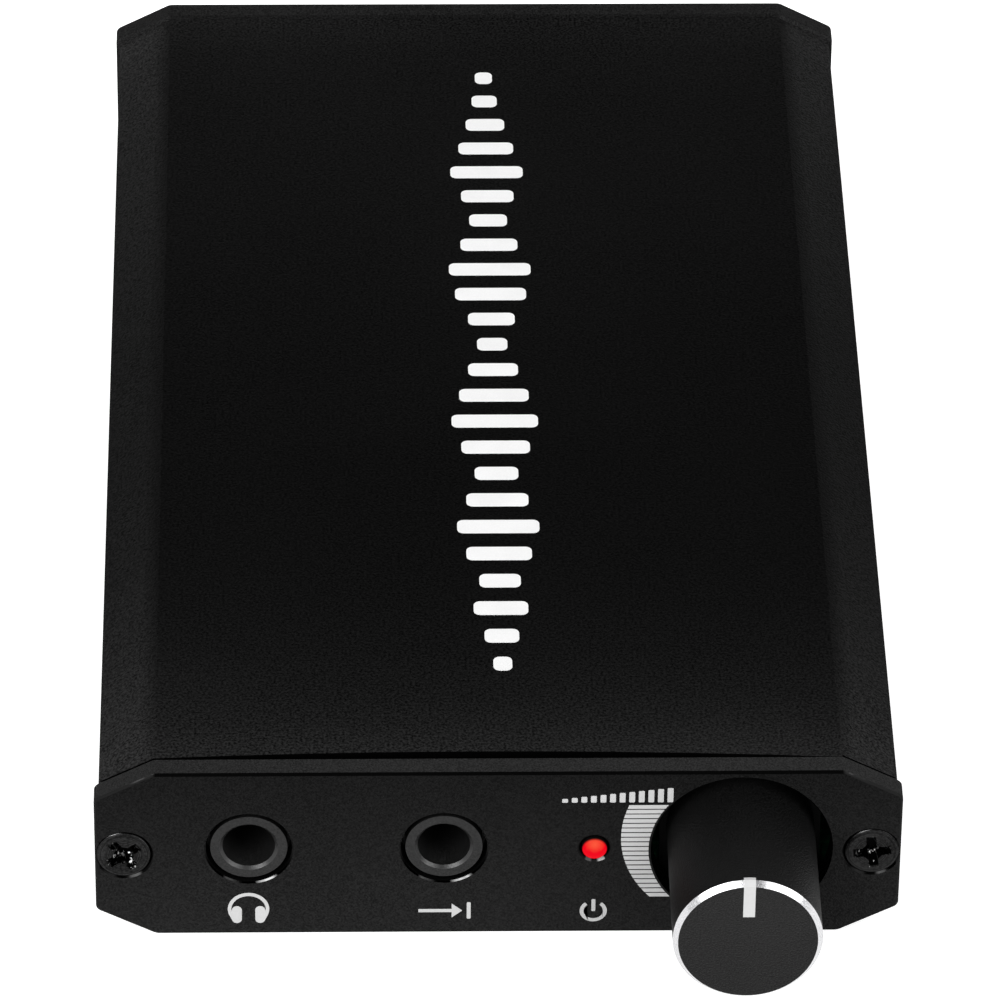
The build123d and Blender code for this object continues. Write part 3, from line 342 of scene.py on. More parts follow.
class Shader:
    """A node tree being wired: each call adds one node and links or sets its inputs."""

    def __init__(self, tree):
        self.tree = tree

    def add(self, kind, inputs=None, **settings):
        node = self.tree.nodes.new(kind)
        for key, value in settings.items():
            setattr(node, key, value)
        for key, value in (inputs or {}).items():
            if isinstance(value, bpy.types.NodeSocket):
                self.tree.links.new(value, node.inputs[key])
            else:
                node.inputs[key].default_value = value
        return node

    def math(self, operation, a, b=0.0):
        return self.add("ShaderNodeMath", {0: a, 1: b}, operation=operation).outputs[0]

    def blend(self, factor, a, b):
        """From one colour to another. These sockets of the Mix node are its colour ones."""
        node = self.add("ShaderNodeMix", {0: factor, 6: a, 7: b}, data_type="RGBA")
        return node.outputs[2]

    def mix(self, factor, a, b):
        """From one number to another."""
        return self.add("ShaderNodeMix", {0: factor, 2: a, 3: b}).outputs[0]

    def product(self, *values):
        result = values[0]
        for value in values[1:]:
            result = self.math("MULTIPLY", result, value)
        return result

    def absolute(self, value):
        return self.math("ABSOLUTE", value)

    def above(self, value, limit):
        return self.math("GREATER_THAN", value, limit)

    def below(self, value, limit):
        return self.math("LESS_THAN", value, limit)

    def outside(self, mask):
        return self.math("SUBTRACT", 1.0, mask)

    def surface(self, kind):
        """The object's own coordinates, or the way its surface faces, as three numbers."""
        place = self.add("ShaderNodeTexCoord").outputs[kind]
        return self.add("ShaderNodeSeparateXYZ", {0: place}).outputs

    def ramp(self, value, stops):
        """A tone that runs through a few given points."""
        node = self.add("ShaderNodeValToRGB", {0: value})
        elements = node.color_ramp.elements
        elements.remove(elements[1])
        elements[0].position, elements[0].color = stops[0][0], grey(stops[0][1])
        for place, tone in stops[1:]:
            elements.new(place).color = grey(tone)
        return node.outputs[0]

    def spread(self, value, low, high, out_low=0.0, out_high=1.0):
        inputs = {"Value": value, 1: low, 2: high, 3: out_low, 4: out_high}
        return self.add("ShaderNodeMapRange", inputs).outputs["Result"]

    def window(self, value, dark, lit, still_lit, dark_again):
        """A mask that comes up between two values and goes down between two more."""
        return self.product(self.spread(value, dark, lit), self.spread(value, dark_again, still_lit))

    def from_axis(self, place, x, z):
        """Distance from an axis that runs from the front to the back."""
        across, up = self.math("SUBTRACT", place["X"], x), self.math("SUBTRACT", place["Z"], z)
        flat = self.add("ShaderNodeCombineXYZ", {0: across, 1: up}).outputs[0]
        return self.add("ShaderNodeVectorMath", {0: flat}, operation="LENGTH").outputs["Value"]

    def effect(self, group, **inputs):
        """Places a shared effect, with its own values."""
        named = {key.replace("_", " "): value for key, value in inputs.items()}
        return self.add("ShaderNodeGroup", named, node_tree=group).outputs


def new_effect(name, inputs, outputs):
    """An empty shader node group with named sockets for numbers, and the wiring helper for it."""
    group = bpy.data.node_groups.new(name, "ShaderNodeTree")
    for label, value in inputs.items():
        socket = group.interface.new_socket(label, in_out="INPUT", socket_type="NodeSocketFloat")
        socket.default_value = value
    for label in outputs:
        group.interface.new_socket(label, in_out="OUTPUT", socket_type="NodeSocketFloat")
    wiring = Shader(group)
    return group, wiring, wiring.add("NodeGroupInput").outputs, wiring.add("NodeGroupOutput").inputs


def new_finish(name, **constants):
    """A material with its Principled shader, plain numbers set straight on the shader's sockets."""
    finish = bpy.data.materials.new(name)
    finish.use_nodes = True
    wiring = Shader(finish.node_tree)
    shader = finish.node_tree.nodes["Principled BSDF"]
    for key, value in constants.items():
        shader.inputs[key.replace("_", " ")].default_value = value
    return finish, wiring, shader


def raise_grain(wiring, shader, height, strength, reach):
    """Bump from a height that changes over the surface."""
    bump = wiring.add("ShaderNodeBump", {"Height": height, "Strength": strength, "Distance": reach})
    wiring.tree.links.new(bump.outputs["Normal"], shader.inputs["Normal"])


def feed(wiring, shader, **sockets):
    for key, value in sockets.items():
        wiring.tree.links.new(value, shader.inputs[key.replace("_", " ")])


# -------------------- effects shared by the finishes


def fine_grain():
    """Even, fine tooth of a blasted or moulded surface, with slow drifts in its depth."""
    sizes = {"Grain size": 0.0001, "Drift size": 0.01, "Drift": 0.3}
    group, w, given, out = new_effect("fine_grain", sizes, ("Height", "Tone"))
    place = w.add("ShaderNodeTexCoord").outputs["Object"]
    tooth_scale = w.math("DIVIDE", 1.0, given["Grain size"])
    drift_scale = w.math("DIVIDE", 1.0, given["Drift size"])
    tooth = w.add("ShaderNodeTexNoise", {"Vector": place, "Scale": tooth_scale, "Detail": 1.0})
    slow = w.add("ShaderNodeTexNoise", {"Vector": place, "Scale": drift_scale, "Detail": 2.0})
    tooth_tone = w.spread(tooth.outputs[0], *noise_reach)
    slow_tone = w.spread(slow.outputs[0], *noise_reach)
    w.tree.links.new(tooth.outputs[0], out["Height"])
    w.tree.links.new(w.mix(given["Drift"], tooth_tone, slow_tone), out["Tone"])
    return group


def cut_edges():
    """Mask of the narrow bevels that face half forwards or half backwards."""
    group, w, given, out = new_effect("cut_edges", {"Least lean": 0.35, "Most lean": 0.9}, ("Mask",))
    lean = w.absolute(w.surface("Normal")["Y"])
    mask = w.product(w.above(lean, given["Least lean"]), w.below(lean, given["Most lean"]))
    w.tree.links.new(mask, out["Mask"])
    return group


def handling():
    """Faint smudges and dust where a surface has been touched."""
    group, w, given, out = new_effect("handling", {"Patch size": 0.01, "Amount": 0.5}, ("Mask",))
    place = w.add("ShaderNodeTexCoord").outputs["Object"]
    scale = w.math("DIVIDE", 1.0, given["Patch size"])
    patch = w.add("ShaderNodeTexNoise", {"Vector": place, "Scale": scale, "Detail": 5.0, "Roughness": 0.6})
    mask = w.spread(patch.outputs[0], 0.48, 0.75)
    w.tree.links.new(w.math("MULTIPLY", mask, given["Amount"]), out["Mask"])
    return group


def drawn_lines():
    """Fine parallel marks of sheet, wire or turned metal, running along one axis."""
    sizes = {"Line width": 0.00008, "Stretch": 25.0}
    group, w, given, out = new_effect("drawn_lines", sizes, ("Height", "Tone"))
    place = w.add("ShaderNodeTexCoord").outputs["Object"]
    across = w.math("DIVIDE", 1.0, given["Line width"])
    along = w.math("DIVIDE", across, given["Stretch"])
    scale = w.add("ShaderNodeCombineXYZ", {0: across, 1: along, 2: across}).outputs[0]
    scaled = w.add("ShaderNodeVectorMath", {0: place, 1: scale}, operation="MULTIPLY").outputs[0]
    lines = w.add("ShaderNodeTexNoise", {"Vector": scaled, "Scale": 1.0, "Detail": 2.0})
    w.tree.links.new(lines.outputs[0], out["Height"])
    w.tree.links.new(w.spread(lines.outputs[0], *noise_reach), out["Tone"])
    return group


grain, edges, touch, lines = fine_grain(), cut_edges(), handling(), drawn_lines()


def between(wiring, tone, low, high):
    """Roughness that follows a tone between two values."""
    return wiring.spread(tone, 0.0, 1.0, low, high)


# -------------------- finishes


def toothed(w, tone, surface, contrast):
    """A black whose blasted tooth stands lighter and darker round its tone."""
    return w.product(tone, w.spread(surface["Tone"], 0.0, 1.0, 1 - contrast, 1 + contrast))


def sleeve_black():
    """Blasted, black anodised extrusion with painted light and shade: paler towards its cut ends, lighter on
    the bevels, darker towards the right, and its sawn ends painted nearly black as shade.
    """
    finish, w, shader = new_finish("sleeve_black", Specular_IOR_Level=0.01)
    surface = w.effect(grain, Grain_size=sleeve_tooth_size, Drift_size=0.02, Drift=0.15)
    place = w.surface("Object")
    along = w.spread(place["Y"], plate_low.y, rear_high.y)
    fold = plate_high.x - corner_run * MM
    bevelled = w.spread(w.absolute(place["X"]), fold, fold + fold_blend * MM)
    tone = w.mix(bevelled, w.ramp(along, flat_painted_light_tones), w.ramp(along, bevel_painted_light_tones))
    tone = w.product(tone, w.spread(place["X"], plate_low.x, plate_high.x, *painted_shade_across))
    sawn = w.above(w.absolute(w.surface("Normal")["Y"]), sawn_limit)
    tone = w.mix(sawn, toothed(w, tone, surface, deep_contrast), sawn_end_painted_shade)
    feed(w, shader, Base_Color=tone, Roughness=between(w, surface["Tone"], *matt))
    raise_grain(w, shader, surface["Height"], 1.0, tooth_depth)
    return finish


def plate_gap(w, place):
    """How far inside the plate's outline a point lies, seen from the front."""
    half_width = (plate_high.x - plate_low.x) / 2
    half_height = (plate_high.z - plate_low.z) / 2
    from_middle = w.absolute(w.math("SUBTRACT", place["Z"], plate_low.z + half_height))
    side = w.math("SUBTRACT", half_width, w.absolute(place["X"]))
    rise = w.math("SUBTRACT", half_height, from_middle)
    run, drop = corner_run * MM, corner_drop * MM
    reach = math.hypot(run, drop)
    past_fold = w.math("SUBTRACT", side, run)
    corner = w.math("ADD", w.product(rise, run / reach), w.product(past_fold, drop / reach))
    return w.math("MINIMUM", w.math("MINIMUM", side, rise), corner)


def plate_ground(w, place, facing, surface, gap, slanted, outward):
    """Anodised black of a plate: tone of its face alone, and of its face, sides, lip and hole walls, with
    painted light and shade: the face darker towards the top, the front plate's sides lighter, the hole walls
    and a line along the level edges dark.
    """
    face = w.spread(place["Z"], plate_low.z, plate_high.z, *face_painted_shade_tones)
    band = w.spread(place["Y"], plate_low.y, rear_high.y, *band_painted_light_tones)
    level = w.above(w.absolute(facing["Y"]), level_limit)
    flat = w.product(level, outward)
    lip = w.product(band, w.mix(slanted, *lip_shares))
    tone = w.mix(w.below(gap, side_gap * MM), w.mix(level, hole_wall_painted_shade, lip), band)
    tone = w.mix(flat, tone, face)
    painted_brink_shade = w.product(flat, w.below(gap, brink_gap * MM), w.outside(slanted))
    tone = w.mix(painted_brink_shade, tone, edge_painted_shade)
    front = toothed(w, tone, surface, plain_contrast)
    back = toothed(w, tone, surface, deep_contrast)
    return face, w.mix(w.above(place["Y"], 0.0), front, back)


def lit_rims(w, facing, wear):
    """Painted glints where a bright rim faces the lamps, low on its right and on its left, and their tone
    there.
    """
    low = w.above(facing["Z"], rim_lit_up)
    right = w.product(w.window(facing["X"], *rim_lit_right), low)
    left = w.product(w.window(facing["X"], *rim_lit_left), low)
    painted_rim_glint = w.product(w.math("ADD", right, w.product(left, left_rim_share)), rim_glint_tone)
    return right, left, w.product(painted_rim_glint, w.spread(wear, 0.0, 0.4, 0.6, 1.0))


def lamp_hole(w, place, right, left, face):
    """The lamp's hole and its tone: painted dark as shade, with two painted glints below, and the face's
    black round it.
    """
    middle = middle_of("power_led")
    reach = w.from_axis(place, middle.x, middle.z)
    painted_glints = w.math("ADD", w.product(left, lamp_painted_glints[0]), w.product(right, lamp_painted_glints[1]))
    rim = w.spread(reach, lamp_rim[0] * MM, lamp_rim[1] * MM)
    return w.below(reach, lamp_hole_reach * MM), w.math("MAXIMUM", painted_glints, w.product(face, rim))


def plate_black():
    """Blasted, black anodised end plate. Its hole rims are bright-cut metal with painted glints where they
    face the lamps, its seats and lamp hole are painted dark as shade, and its edge glints at the corners.
    """
    finish, w, shader = new_finish("plate_black", Specular_IOR_Level=0.01)
    surface = w.effect(grain, Grain_size=tooth_size, Drift_size=0.02, Drift=0.15)
    wear = w.effect(touch, Patch_size=0.0008, Amount=1.0)["Mask"]
    place, facing = w.surface("Object"), w.surface("Normal")
    gap = plate_gap(w, place)
    across = w.absolute(place["X"])
    corner_x = plate_high.x - corner_run * MM
    slanted = w.spread(across, corner_x - corner_blend * MM, corner_x + corner_blend * MM)
    outward = w.above(w.product(facing["Y"], place["Y"]), 0.0)
    face, tone = plate_ground(w, place, facing, surface, gap, slanted, outward)

    rims = w.product(w.effect(edges)["Mask"], outward)
    outline = w.below(gap, outline_gap * MM)
    outer_rim = w.product(rims, outline)
    tone = w.mix(outer_rim, tone, w.mix(slanted, edge_painted_shade, slanted_edge_tone))

    hole_rim = w.product(rims, w.outside(outline))
    right, left, painted_rim_glint = lit_rims(w, facing, wear)
    round_lamp, lamp_tone = lamp_hole(w, place, right, left, face)
    seat = w.above(across, plate_high.x - seat_reach * MM)
    seat_glint_and_shade = w.math("ADD", w.product(painted_rim_glint, seat_share), seat_painted_shade)
    tone = w.mix(hole_rim, tone, w.mix(seat, w.mix(round_lamp, painted_rim_glint, lamp_tone), seat_glint_and_shade))

    worn = w.product(w.below(gap, glint_gap * MM), w.spread(wear, 0.0, 0.2, 0.2, 1.0))
    near_corner = w.spread(across, corner_x + glint_run[1] * MM, corner_x + glint_run[0] * MM)
    glint = w.product(outer_rim, slanted, near_corner, worn)
    bright = w.product(hole_rim, w.outside(round_lamp))
    feed(w, shader, Base_Color=w.mix(glint, tone, corner_tone), Metallic=w.math("MAXIMUM", bright, glint))
    feed(w, shader, Roughness=w.mix(bright, between(w, surface["Tone"], *matt), hole_rim_roughness))
    raise_grain(w, shader, w.product(surface["Height"], w.outside(rims)), 1.0, tooth_depth)
    return finish


def knob_black():
    """Black anodised knob whose bevelled rim is cut bright."""
    finish, w, shader = new_finish("knob_black", Specular_IOR_Level=0.1)
    surface = w.effect(grain, Grain_size=tooth_size, Drift_size=0.015, Drift=0.2)
    rim = w.effect(edges)["Mask"]
    cuts = w.effect(lines, Line_width=0.00006, Stretch=3.0)
    level = w.above(w.absolute(w.surface("Normal")["Y"]), level_limit)
    black = toothed(w, w.mix(level, knob_side_tone, knob_face_tone), surface, deep_contrast)
    bright = w.blend(cuts["Tone"], *knob_rim_colours)
    feed(w, shader, Base_Color=w.blend(rim, black, bright), Metallic=rim)
    satin, polished = between(w, surface["Tone"], 0.4, 0.52), between(w, cuts["Tone"], 0.16, 0.3)
    feed(w, shader, Roughness=w.mix(rim, satin, polished))
    raise_grain(w, shader, w.product(surface["Height"], w.outside(rim)), 1.0, tooth_depth)
    return finish


def socket_moulding():
    """Black moulding of a socket: its bore and sides are painted darker than its faces as shade, and its
    mouth is polished by plugs.
    """
    finish, w, shader = new_finish("socket_moulding", Specular_IOR_Level=0.15)
    surface = w.effect(grain, Grain_size=tooth_size, Drift_size=0.004, Drift=0.2)
    mouth = w.effect(edges)["Mask"]
    level = w.above(w.absolute(w.surface("Normal")["Y"]), level_limit)
    tone = toothed(w, w.mix(level, socket_bore_painted_shade, socket_face_tone), surface, socket_contrast)
    feed(w, shader, Base_Color=w.mix(mouth, tone, socket_mouth_tone), Metallic=mouth)
    feed(w, shader, Roughness=between(w, surface["Tone"], 0.32, 0.46))
    raise_grain(w, shader, surface["Height"], 0.3, 0.00002)
    return finish


def screw_black():
    """Black oxide over a turned head: fine rings, a painted highlight on the edge where it faces the light,
    painted shade deep in the recess, and a recess polished by the driver.
    """
    finish, w, shader = new_finish("screw_black", Metallic=1.0)
    surface = w.effect(grain, Grain_size=tooth_size, Drift_size=0.002, Drift=0.3)
    place, facing = w.surface("Object"), w.surface("Normal")
    folded = {"X": w.absolute(place["X"]), "Z": place["Z"]}
    reach = w.from_axis(folded, screw_x * MM, (plate_low.z + plate_high.z) / 2)
    near_axis = w.below(reach, head_rim_reach * MM)
    ring_place = w.product(reach, rings_per_metre)
    rings = w.add("ShaderNodeTexNoise", {"W": ring_place, "Scale": 1.0}, noise_dimensions="1D")
    turned = w.spread(rings.outputs[0], *noise_reach)
    tone = w.mix(w.product(turned, surface["Tone"]), *screw_tones)

    front_depth = w.math("SUBTRACT", place["Y"], plate_low.y + recess_shade_depth * MM)
    rear_depth = w.math("SUBTRACT", rear_high.y - recess_shade_depth * MM, place["Y"])
    deep = w.above(w.math("MINIMUM", front_depth, rear_depth), 0.0)
    tone = w.mix(w.product(deep, near_axis), tone, screw_tones[0] * recess_shade_share)

    # Painted highlight on the head's edge where it faces the light; worn patches on the recess walls.
    to_light = w.math("ADD", w.product(facing["X"], lit_way[0]), w.product(facing["Z"], lit_way[1]))
    edge = w.product(w.effect(edges)["Mask"], w.outside(near_axis), w.spread(to_light, *lit_way_reach))
    patches = w.spread(w.effect(touch, Patch_size=0.0003, Amount=1.0)["Mask"], 0.35, 0.6)
    wall = w.product(w.below(w.absolute(facing["Y"]), level_limit), near_axis, patches)
    feed(w, shader, Base_Color=w.mix(w.math("MAXIMUM", edge, wall), tone, screw_wear_and_glint_tone))
    feed(w, shader, Roughness=between(w, surface["Tone"], 0.28, 0.45))
    raise_grain(w, shader, turned, 0.25, 0.00001)
    return finish


def moulded(name, dark, light, rough=(0.35, 0.5), tooth=0.00012, strength=0.2, specular=0.4):
    """Moulded plastic with a fine tooth and a slow drift of tone."""
    finish, w, shader = new_finish(name, Specular_IOR_Level=specular)
    surface = w.effect(grain, Grain_size=tooth, Drift_size=0.004, Drift=0.45)
    marks = w.effect(touch, Patch_size=0.003, Amount=0.3)["Mask"]
    colour = w.blend(surface["Tone"], dark, light)
    feed(w, shader, Base_Color=w.blend(marks, colour, light))
    feed(w, shader, Roughness=between(w, surface["Tone"], *rough))
    raise_grain(w, shader, surface["Height"], strength, 0.00002)
    return finish


def metal(name, dark, light, rough=(0.22, 0.4), line=0.00006, stretch=18.0, strength=0.15):
    """Drawn, rolled or turned metal with fine lines."""
    finish, w, shader = new_finish(name, Metallic=1.0)
    drawn = w.effect(lines, Line_width=line, Stretch=stretch)
    marks = w.effect(touch, Patch_size=0.002, Amount=0.5)["Mask"]
    feed(w, shader, Base_Color=w.blend(marks, w.blend(drawn["Tone"], dark, light), dark))
    feed(w, shader, Roughness=between(w, drawn["Tone"], *rough))
    raise_grain(w, shader, drawn["Height"], strength, 0.00001)
    return finish


def printed_white(name, tone):
    """Screen-printed or filled white, slightly uneven in cover."""
    finish, w, shader = new_finish(name, Specular_IOR_Level=0.3)
    surface = w.effect(grain, Grain_size=0.00009, Drift_size=0.003, Drift=0.5)
    feed(w, shader, Base_Color=w.blend(surface["Tone"], grey(tone * 0.9), grey(tone)))
    feed(w, shader, Roughness=between(w, surface["Tone"], 0.45, 0.6))
    raise_grain(w, shader, surface["Height"], 0.15, 0.00001)
    return finish


def lamp_lens(name, centre, reach, shade, core, skin, body, glow):
    """Clear-coloured lamp, brightest above its middle, whose glow dies at some depth behind its nose."""
    finish, w, shader = new_finish(name, Emission_Strength=glow, Specular_IOR_Level=0.02)
    place = w.add("ShaderNodeTexCoord").outputs["Object"]
    offset = w.add("ShaderNodeVectorMath", {0: place, 1: centre}, operation="DISTANCE").outputs["Value"]
    surface = w.effect(grain, Grain_size=0.0002, Drift_size=0.0008, Drift=0.5)
    uneven = w.spread(surface["Tone"], 0.0, 1.0, *lens_unevenness)
    tone = w.spread(w.product(offset, uneven), lens_core[0] * reach, lens_core[1] * reach)
    depth = w.math("SUBTRACT", w.absolute(w.surface("Object")["Y"]), abs(centre[1]))
    lit = w.spread(depth, -shade - lens_fade * MM, -shade)
    edge = w.spread(w.absolute(w.surface("Normal")["Y"]), *lens_edge)
    lens = w.blend(w.product(lit, edge), grey(0.0), w.blend(tone, core, skin))
    feed(w, shader, Base_Color=w.blend(lit, grey(0.004), body), Emission_Color=lens)
    feed(w, shader, Roughness=between(w, surface["Tone"], 0.2, 0.32))
    return finish


def solder_mask():
    """Green board with buried tracks showing as a slight relief."""
    finish, w, shader = new_finish("solder_mask", Specular_IOR_Level=0.5)
    place = w.add("ShaderNodeTexCoord").outputs["Object"]
    surface = w.effect(grain, Grain_size=0.0003, Drift_size=0.006, Drift=0.5)
    layout = {"Vector": place, "Scale": 260.0, "Brick Width": 1.9, "Row Height": 0.31}
    layout.update({"Mortar Size": 0.035, "Mortar Smooth": 0.1})
    bricks = w.add("ShaderNodeTexBrick", layout, offset=0.37, squash=0.6, squash_frequency=3)
    tracks = bricks.outputs["Fac"]
    weave = w.blend(surface["Tone"], (0.004, 0.055, 0.022, 1.0), (0.008, 0.085, 0.036, 1.0))
    feed(w, shader, Base_Color=w.blend(tracks, weave, (0.02, 0.15, 0.06, 1.0)))
    feed(w, shader, Roughness=between(w, surface["Tone"], 0.28, 0.4))
    raise_grain(w, shader, tracks, 0.3, 0.00003)
    return finish


def foil_pouch():
    """Crinkled silver foil of the battery pack."""
    finish, w, shader = new_finish("foil_pouch", Metallic=1.0)
    place = w.add("ShaderNodeTexCoord").outputs["Object"]
    creases = w.add("ShaderNodeTexVoronoi", {"Vector": place, "Scale": 420.0}, feature="DISTANCE_TO_EDGE")
    crinkle = w.spread(creases.outputs["Distance"], 0.0, 0.35)
    surface = w.effect(grain, Grain_size=0.0002, Drift_size=0.012, Drift=0.6)
    feed(w, shader, Base_Color=w.blend(surface["Tone"], grey(0.5), (0.66, 0.67, 0.69, 1.0)))
    feed(w, shader, Roughness=between(w, surface["Tone"], 0.3, 0.45))
    raise_grain(w, shader, crinkle, 0.35, 0.00008)
    return finish


# -------------------- finishes of the solids


def nose_centre(node, lift):
    """A point just above the middle of a lamp's nose, at the front or at the back."""
    low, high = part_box(node)
    middle = middle_of(node)
    return (middle.x, low.y if low.y < 0 else high.y, middle.z + lift * MM)


case_finish = sleeve_black()
plate_finish = plate_black()
knob_finish = knob_black()
screw_finish = screw_black()
socket_finish = socket_moulding()
# Blackened sheet of the pot's bracket, pushed darker still: painted shade inside the knob's opening.
black_sheet_in_shade = moulded("blackened_sheet", grey(0.002), grey(0.004), rough=matt, specular=0.05)
black_moulding = moulded("black_moulding", grey(0.012), grey(0.022), rough=(0.3, 0.42))
chip_moulding = moulded("chip_moulding", grey(0.012), grey(0.02), rough=(0.55, 0.7))
insert_moulding = moulded("insert_moulding", grey(0.05), grey(0.07))
pale_moulding = moulded("pale_moulding", (0.62, 0.6, 0.54, 1), (0.72, 0.7, 0.64, 1))
plug_moulding = moulded("plug_moulding", (0.7, 0.68, 0.6, 1), (0.8, 0.78, 0.71, 1))
laminate = moulded("brown_laminate", (0.13, 0.075, 0.03, 1), (0.2, 0.12, 0.055, 1), rough=matt)
# Insulation film, darker than its own colour: painted shade inside the case.
film_in_painted_shade = moulded("insulation_film_shaded", (0.22, 0.19, 0.13, 1), (0.3, 0.26, 0.19, 1))
foam = moulded("foam_tape", grey(0.58), grey(0.72), rough=(0.85, 0.95), tooth=0.0003, strength=0.6)
guard_tape = moulded("amber_tape", (0.42, 0.22, 0.02, 1), (0.56, 0.32, 0.04, 1), rough=(0.2, 0.32))
red_rubber = moulded("red_insulation", (0.36, 0.012, 0.012, 1), (0.5, 0.02, 0.02, 1))
black_rubber = moulded("black_insulation", grey(0.012), grey(0.022))
ferrite = moulded("ferrite", grey(0.03), grey(0.055), rough=(0.6, 0.75), tooth=0.0002, strength=0.5)
glazed = moulded("glazed_ceramic", grey(0.02), grey(0.04), rough=(0.15, 0.3))
tinned = metal("tinned_metal", grey(0.48), grey(0.66))
bright_steel = metal("plated_steel", grey(0.46), grey(0.62), rough=(0.2, 0.34))
turned = metal("turned_aluminium", grey(0.55), grey(0.72), line=0.0001, stretch=2.0)
spring_metal = metal("spring_metal", (0.6, 0.5, 0.3, 1), (0.75, 0.66, 0.44, 1))
gold = metal("gold_plate", (0.72, 0.48, 0.16, 1), (0.86, 0.62, 0.27, 1), rough=(0.16, 0.28))
bright_can = metal("bright_can", grey(0.62), grey(0.78), rough=(0.12, 0.22), line=0.00015)
board = solder_mask()
pouch = foil_pouch()
pointer_white = printed_white("pointer_white", 0.54)
ink_white = printed_white("ink_white", 0.52)
top_white = printed_white("top_white", 0.93)
red_lamp = lamp_lens(
    "red_lamp", nose_centre("power_led", 0.52), 0.82 * MM, 0.0,
    (1.0, 0.1, 0.045, 1), (0.9, 0.0, 0.01, 1), (0.006, 0.0, 0.0005, 1), 0.97,
)
green_lamp = lamp_lens(
    "green_lamp", nose_centre("charge_led", 0.3), 1.1 * MM, 1.0 * MM,
    (0.2, 0.6, 0.25, 1), (0.05, 0.32, 0.1, 1), (0.03, 0.3, 0.08, 1), 0.02,
)

solid_finishes = {
    case_finish: ["sleeve"],
    plate_finish: ["front_plate", "rear_plate"],
    knob_finish: ["knob_shell"],
    pointer_white: ["knob_pointer"],
    screw_finish: ["front_screws", "rear_screws"],
    socket_finish: ["headphone_jack_body", "line_in_jack_body"],
    black_sheet_in_shade: ["pot_bracket"],
    black_moulding: [
        "pot_body", "charge_socket_insulator", "gain_switch_base", "gain_slider", "filter_capacitor_bases",
    ],
    chip_moulding: ["amplifier_chips", "charger_chip"],
    insert_moulding: ["knob_insert"],
    pale_moulding: ["pot_rotor"],
    plug_moulding: ["battery_plug", "battery_header"],
    laminate: ["pot_track"],
    film_in_painted_shade: ["insulation_sheet"],
    foam: ["battery_tape"],
    guard_tape: ["battery_guard"],
    red_rubber: ["battery_lead_red"],
    black_rubber: ["battery_lead_black"],
    ferrite: ["boost_inductor"],
    glazed: ["chip_resistors"],
    tinned: [
        "power_led_leads", "charge_led_leads", "amplifier_chip_leads", "charger_chip_leads",
        "pot_terminals", "battery_header_pins", "gain_switch_terminals",
    ],
    bright_steel: ["charge_socket_shell", "gain_switch_frame"],
    turned: ["pot_shaft"],
    spring_metal: ["headphone_jack_contacts", "line_in_jack_contacts", "pot_wiper", "gain_bridge"],
    gold: ["charge_socket_contacts"],
    bright_can: ["filter_capacitor_cans"],
    board: ["main_board"],
    pouch: ["battery_cell"],
    red_lamp: ["power_led"],
    green_lamp: ["charge_led"],
}
for finish, names in solid_finishes.items():
    for name in names:
        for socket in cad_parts[name].material_slots:
            socket.material = finish

# -------------------- case screws


def lathe(profile, steps):
    """Closed shape turned about Z from a profile that starts and ends on the axis."""
    built = bmesh.new()
    turns = [2 * math.pi * i / steps for i in range(steps)]
    rings = []
    for radius, height in profile:
        points = [(radius * math.cos(a), radius * math.sin(a), height) for a in turns]
        rings.append([built.verts.new(point) for point in (points if radius else [(0, 0, height)])])
    for lower, upper in zip(rings, rings[1:]):
        for i in range(steps):
            corners = [lower[i % len(lower)], lower[(i + 1) % len(lower)]]
            corners += [upper[(i + 1) % len(upper)], upper[i % len(upper)]]
            built.faces.new(list(dict.fromkeys(corners)))
    return built


def screw_blank():
    """Countersunk head with a softened edge, and a shank whose thread winds down to a blunt point."""
    core = screw_shank_r - thread_depth
    neck = screw_shank_r - screw_head_r - neck_length
    point = point_length - screw_length
    edge_r = screw_head_r - head_edge_round
    head = [(0, 0), (edge_r - head_edge_round, 0), (edge_r, -head_edge_drop)]
    head += [(screw_head_r, -head_edge_round), (core, neck)]
    shank = [(core, neck + (point - neck) * i / thread_rows) for i in range(1, thread_rows + 1)]
    tip = [(core * point_share, -screw_length), (0, -screw_length)]
    built = lathe(head + shank + tip, screw_steps)
    for vert in built.verts:
        radius = math.hypot(vert.co.x, vert.co.y)
        if abs(radius - core) < same_size and point < vert.co.z < neck - neck_length / 2:
            turn = math.atan2(vert.co.y, vert.co.x) / (2 * math.pi)
            phase = (vert.co.z / thread_pitch - turn) % 1.0
            crest = max(0.0, 1.0 - abs(2 * phase - 1) * thread_sharpness) * thread_depth * thread_height
            vert.co.x *= (radius + crest) / radius
            vert.co.y *= (radius + crest) / radius
    return built


def recess_cutter():
    """Tapered cross that the driver fits, narrowing towards a point in the middle."""
    built = bmesh.new()
    reach, half = recess_span / 2, recess_width / 2
    rings = []
    for depth, span, width in recess_taper:
        long, short, corner = reach * span, half * width, (half + recess_corner) * width
        flat = corner + corner_flat
        arm = [(long, -short), (long, short), (flat, short), (short, flat)]
        ring = []
        for quarter in range(4):
            turn = Matrix.Rotation(quarter * math.pi / 2, 2)
            ring += [built.verts.new((*(turn @ Vector(point)), -recess_depth * depth)) for point in arm]
        rings.append(ring)
    for lower, upper in zip(rings, rings[1:]):
        for i in range(len(lower)):
            j = (i + 1) % len(lower)
            built.faces.new((lower[i], lower[j], upper[j], upper[i]))
    built.faces.new(rings[0])
    built.faces.new(rings[-1])
    return built


def cut_screw():
    """One finished screw, head at the origin and pointing down, in millimetres."""
    blank = bpy.data.objects.new("blank", tidy_mesh("blank", screw_blank()))
    cutter = bpy.data.objects.new("cutter", tidy_mesh("cutter", recess_cutter()))
    for piece in (blank, cutter):
        bpy.context.scene.collection.objects.link(piece)
    cut = blank.modifiers.new("recess", "BOOLEAN")
    cut.operation, cut.object, cut.solver = "DIFFERENCE", cutter, "EXACT"
    bpy.context.view_layer.update()
    whole = bpy.data.meshes.new_from_object(blank.evaluated_get(bpy.context.evaluated_depsgraph_get()))
    for piece in (blank, cutter):
        bpy.data.objects.remove(piece)
    return whole


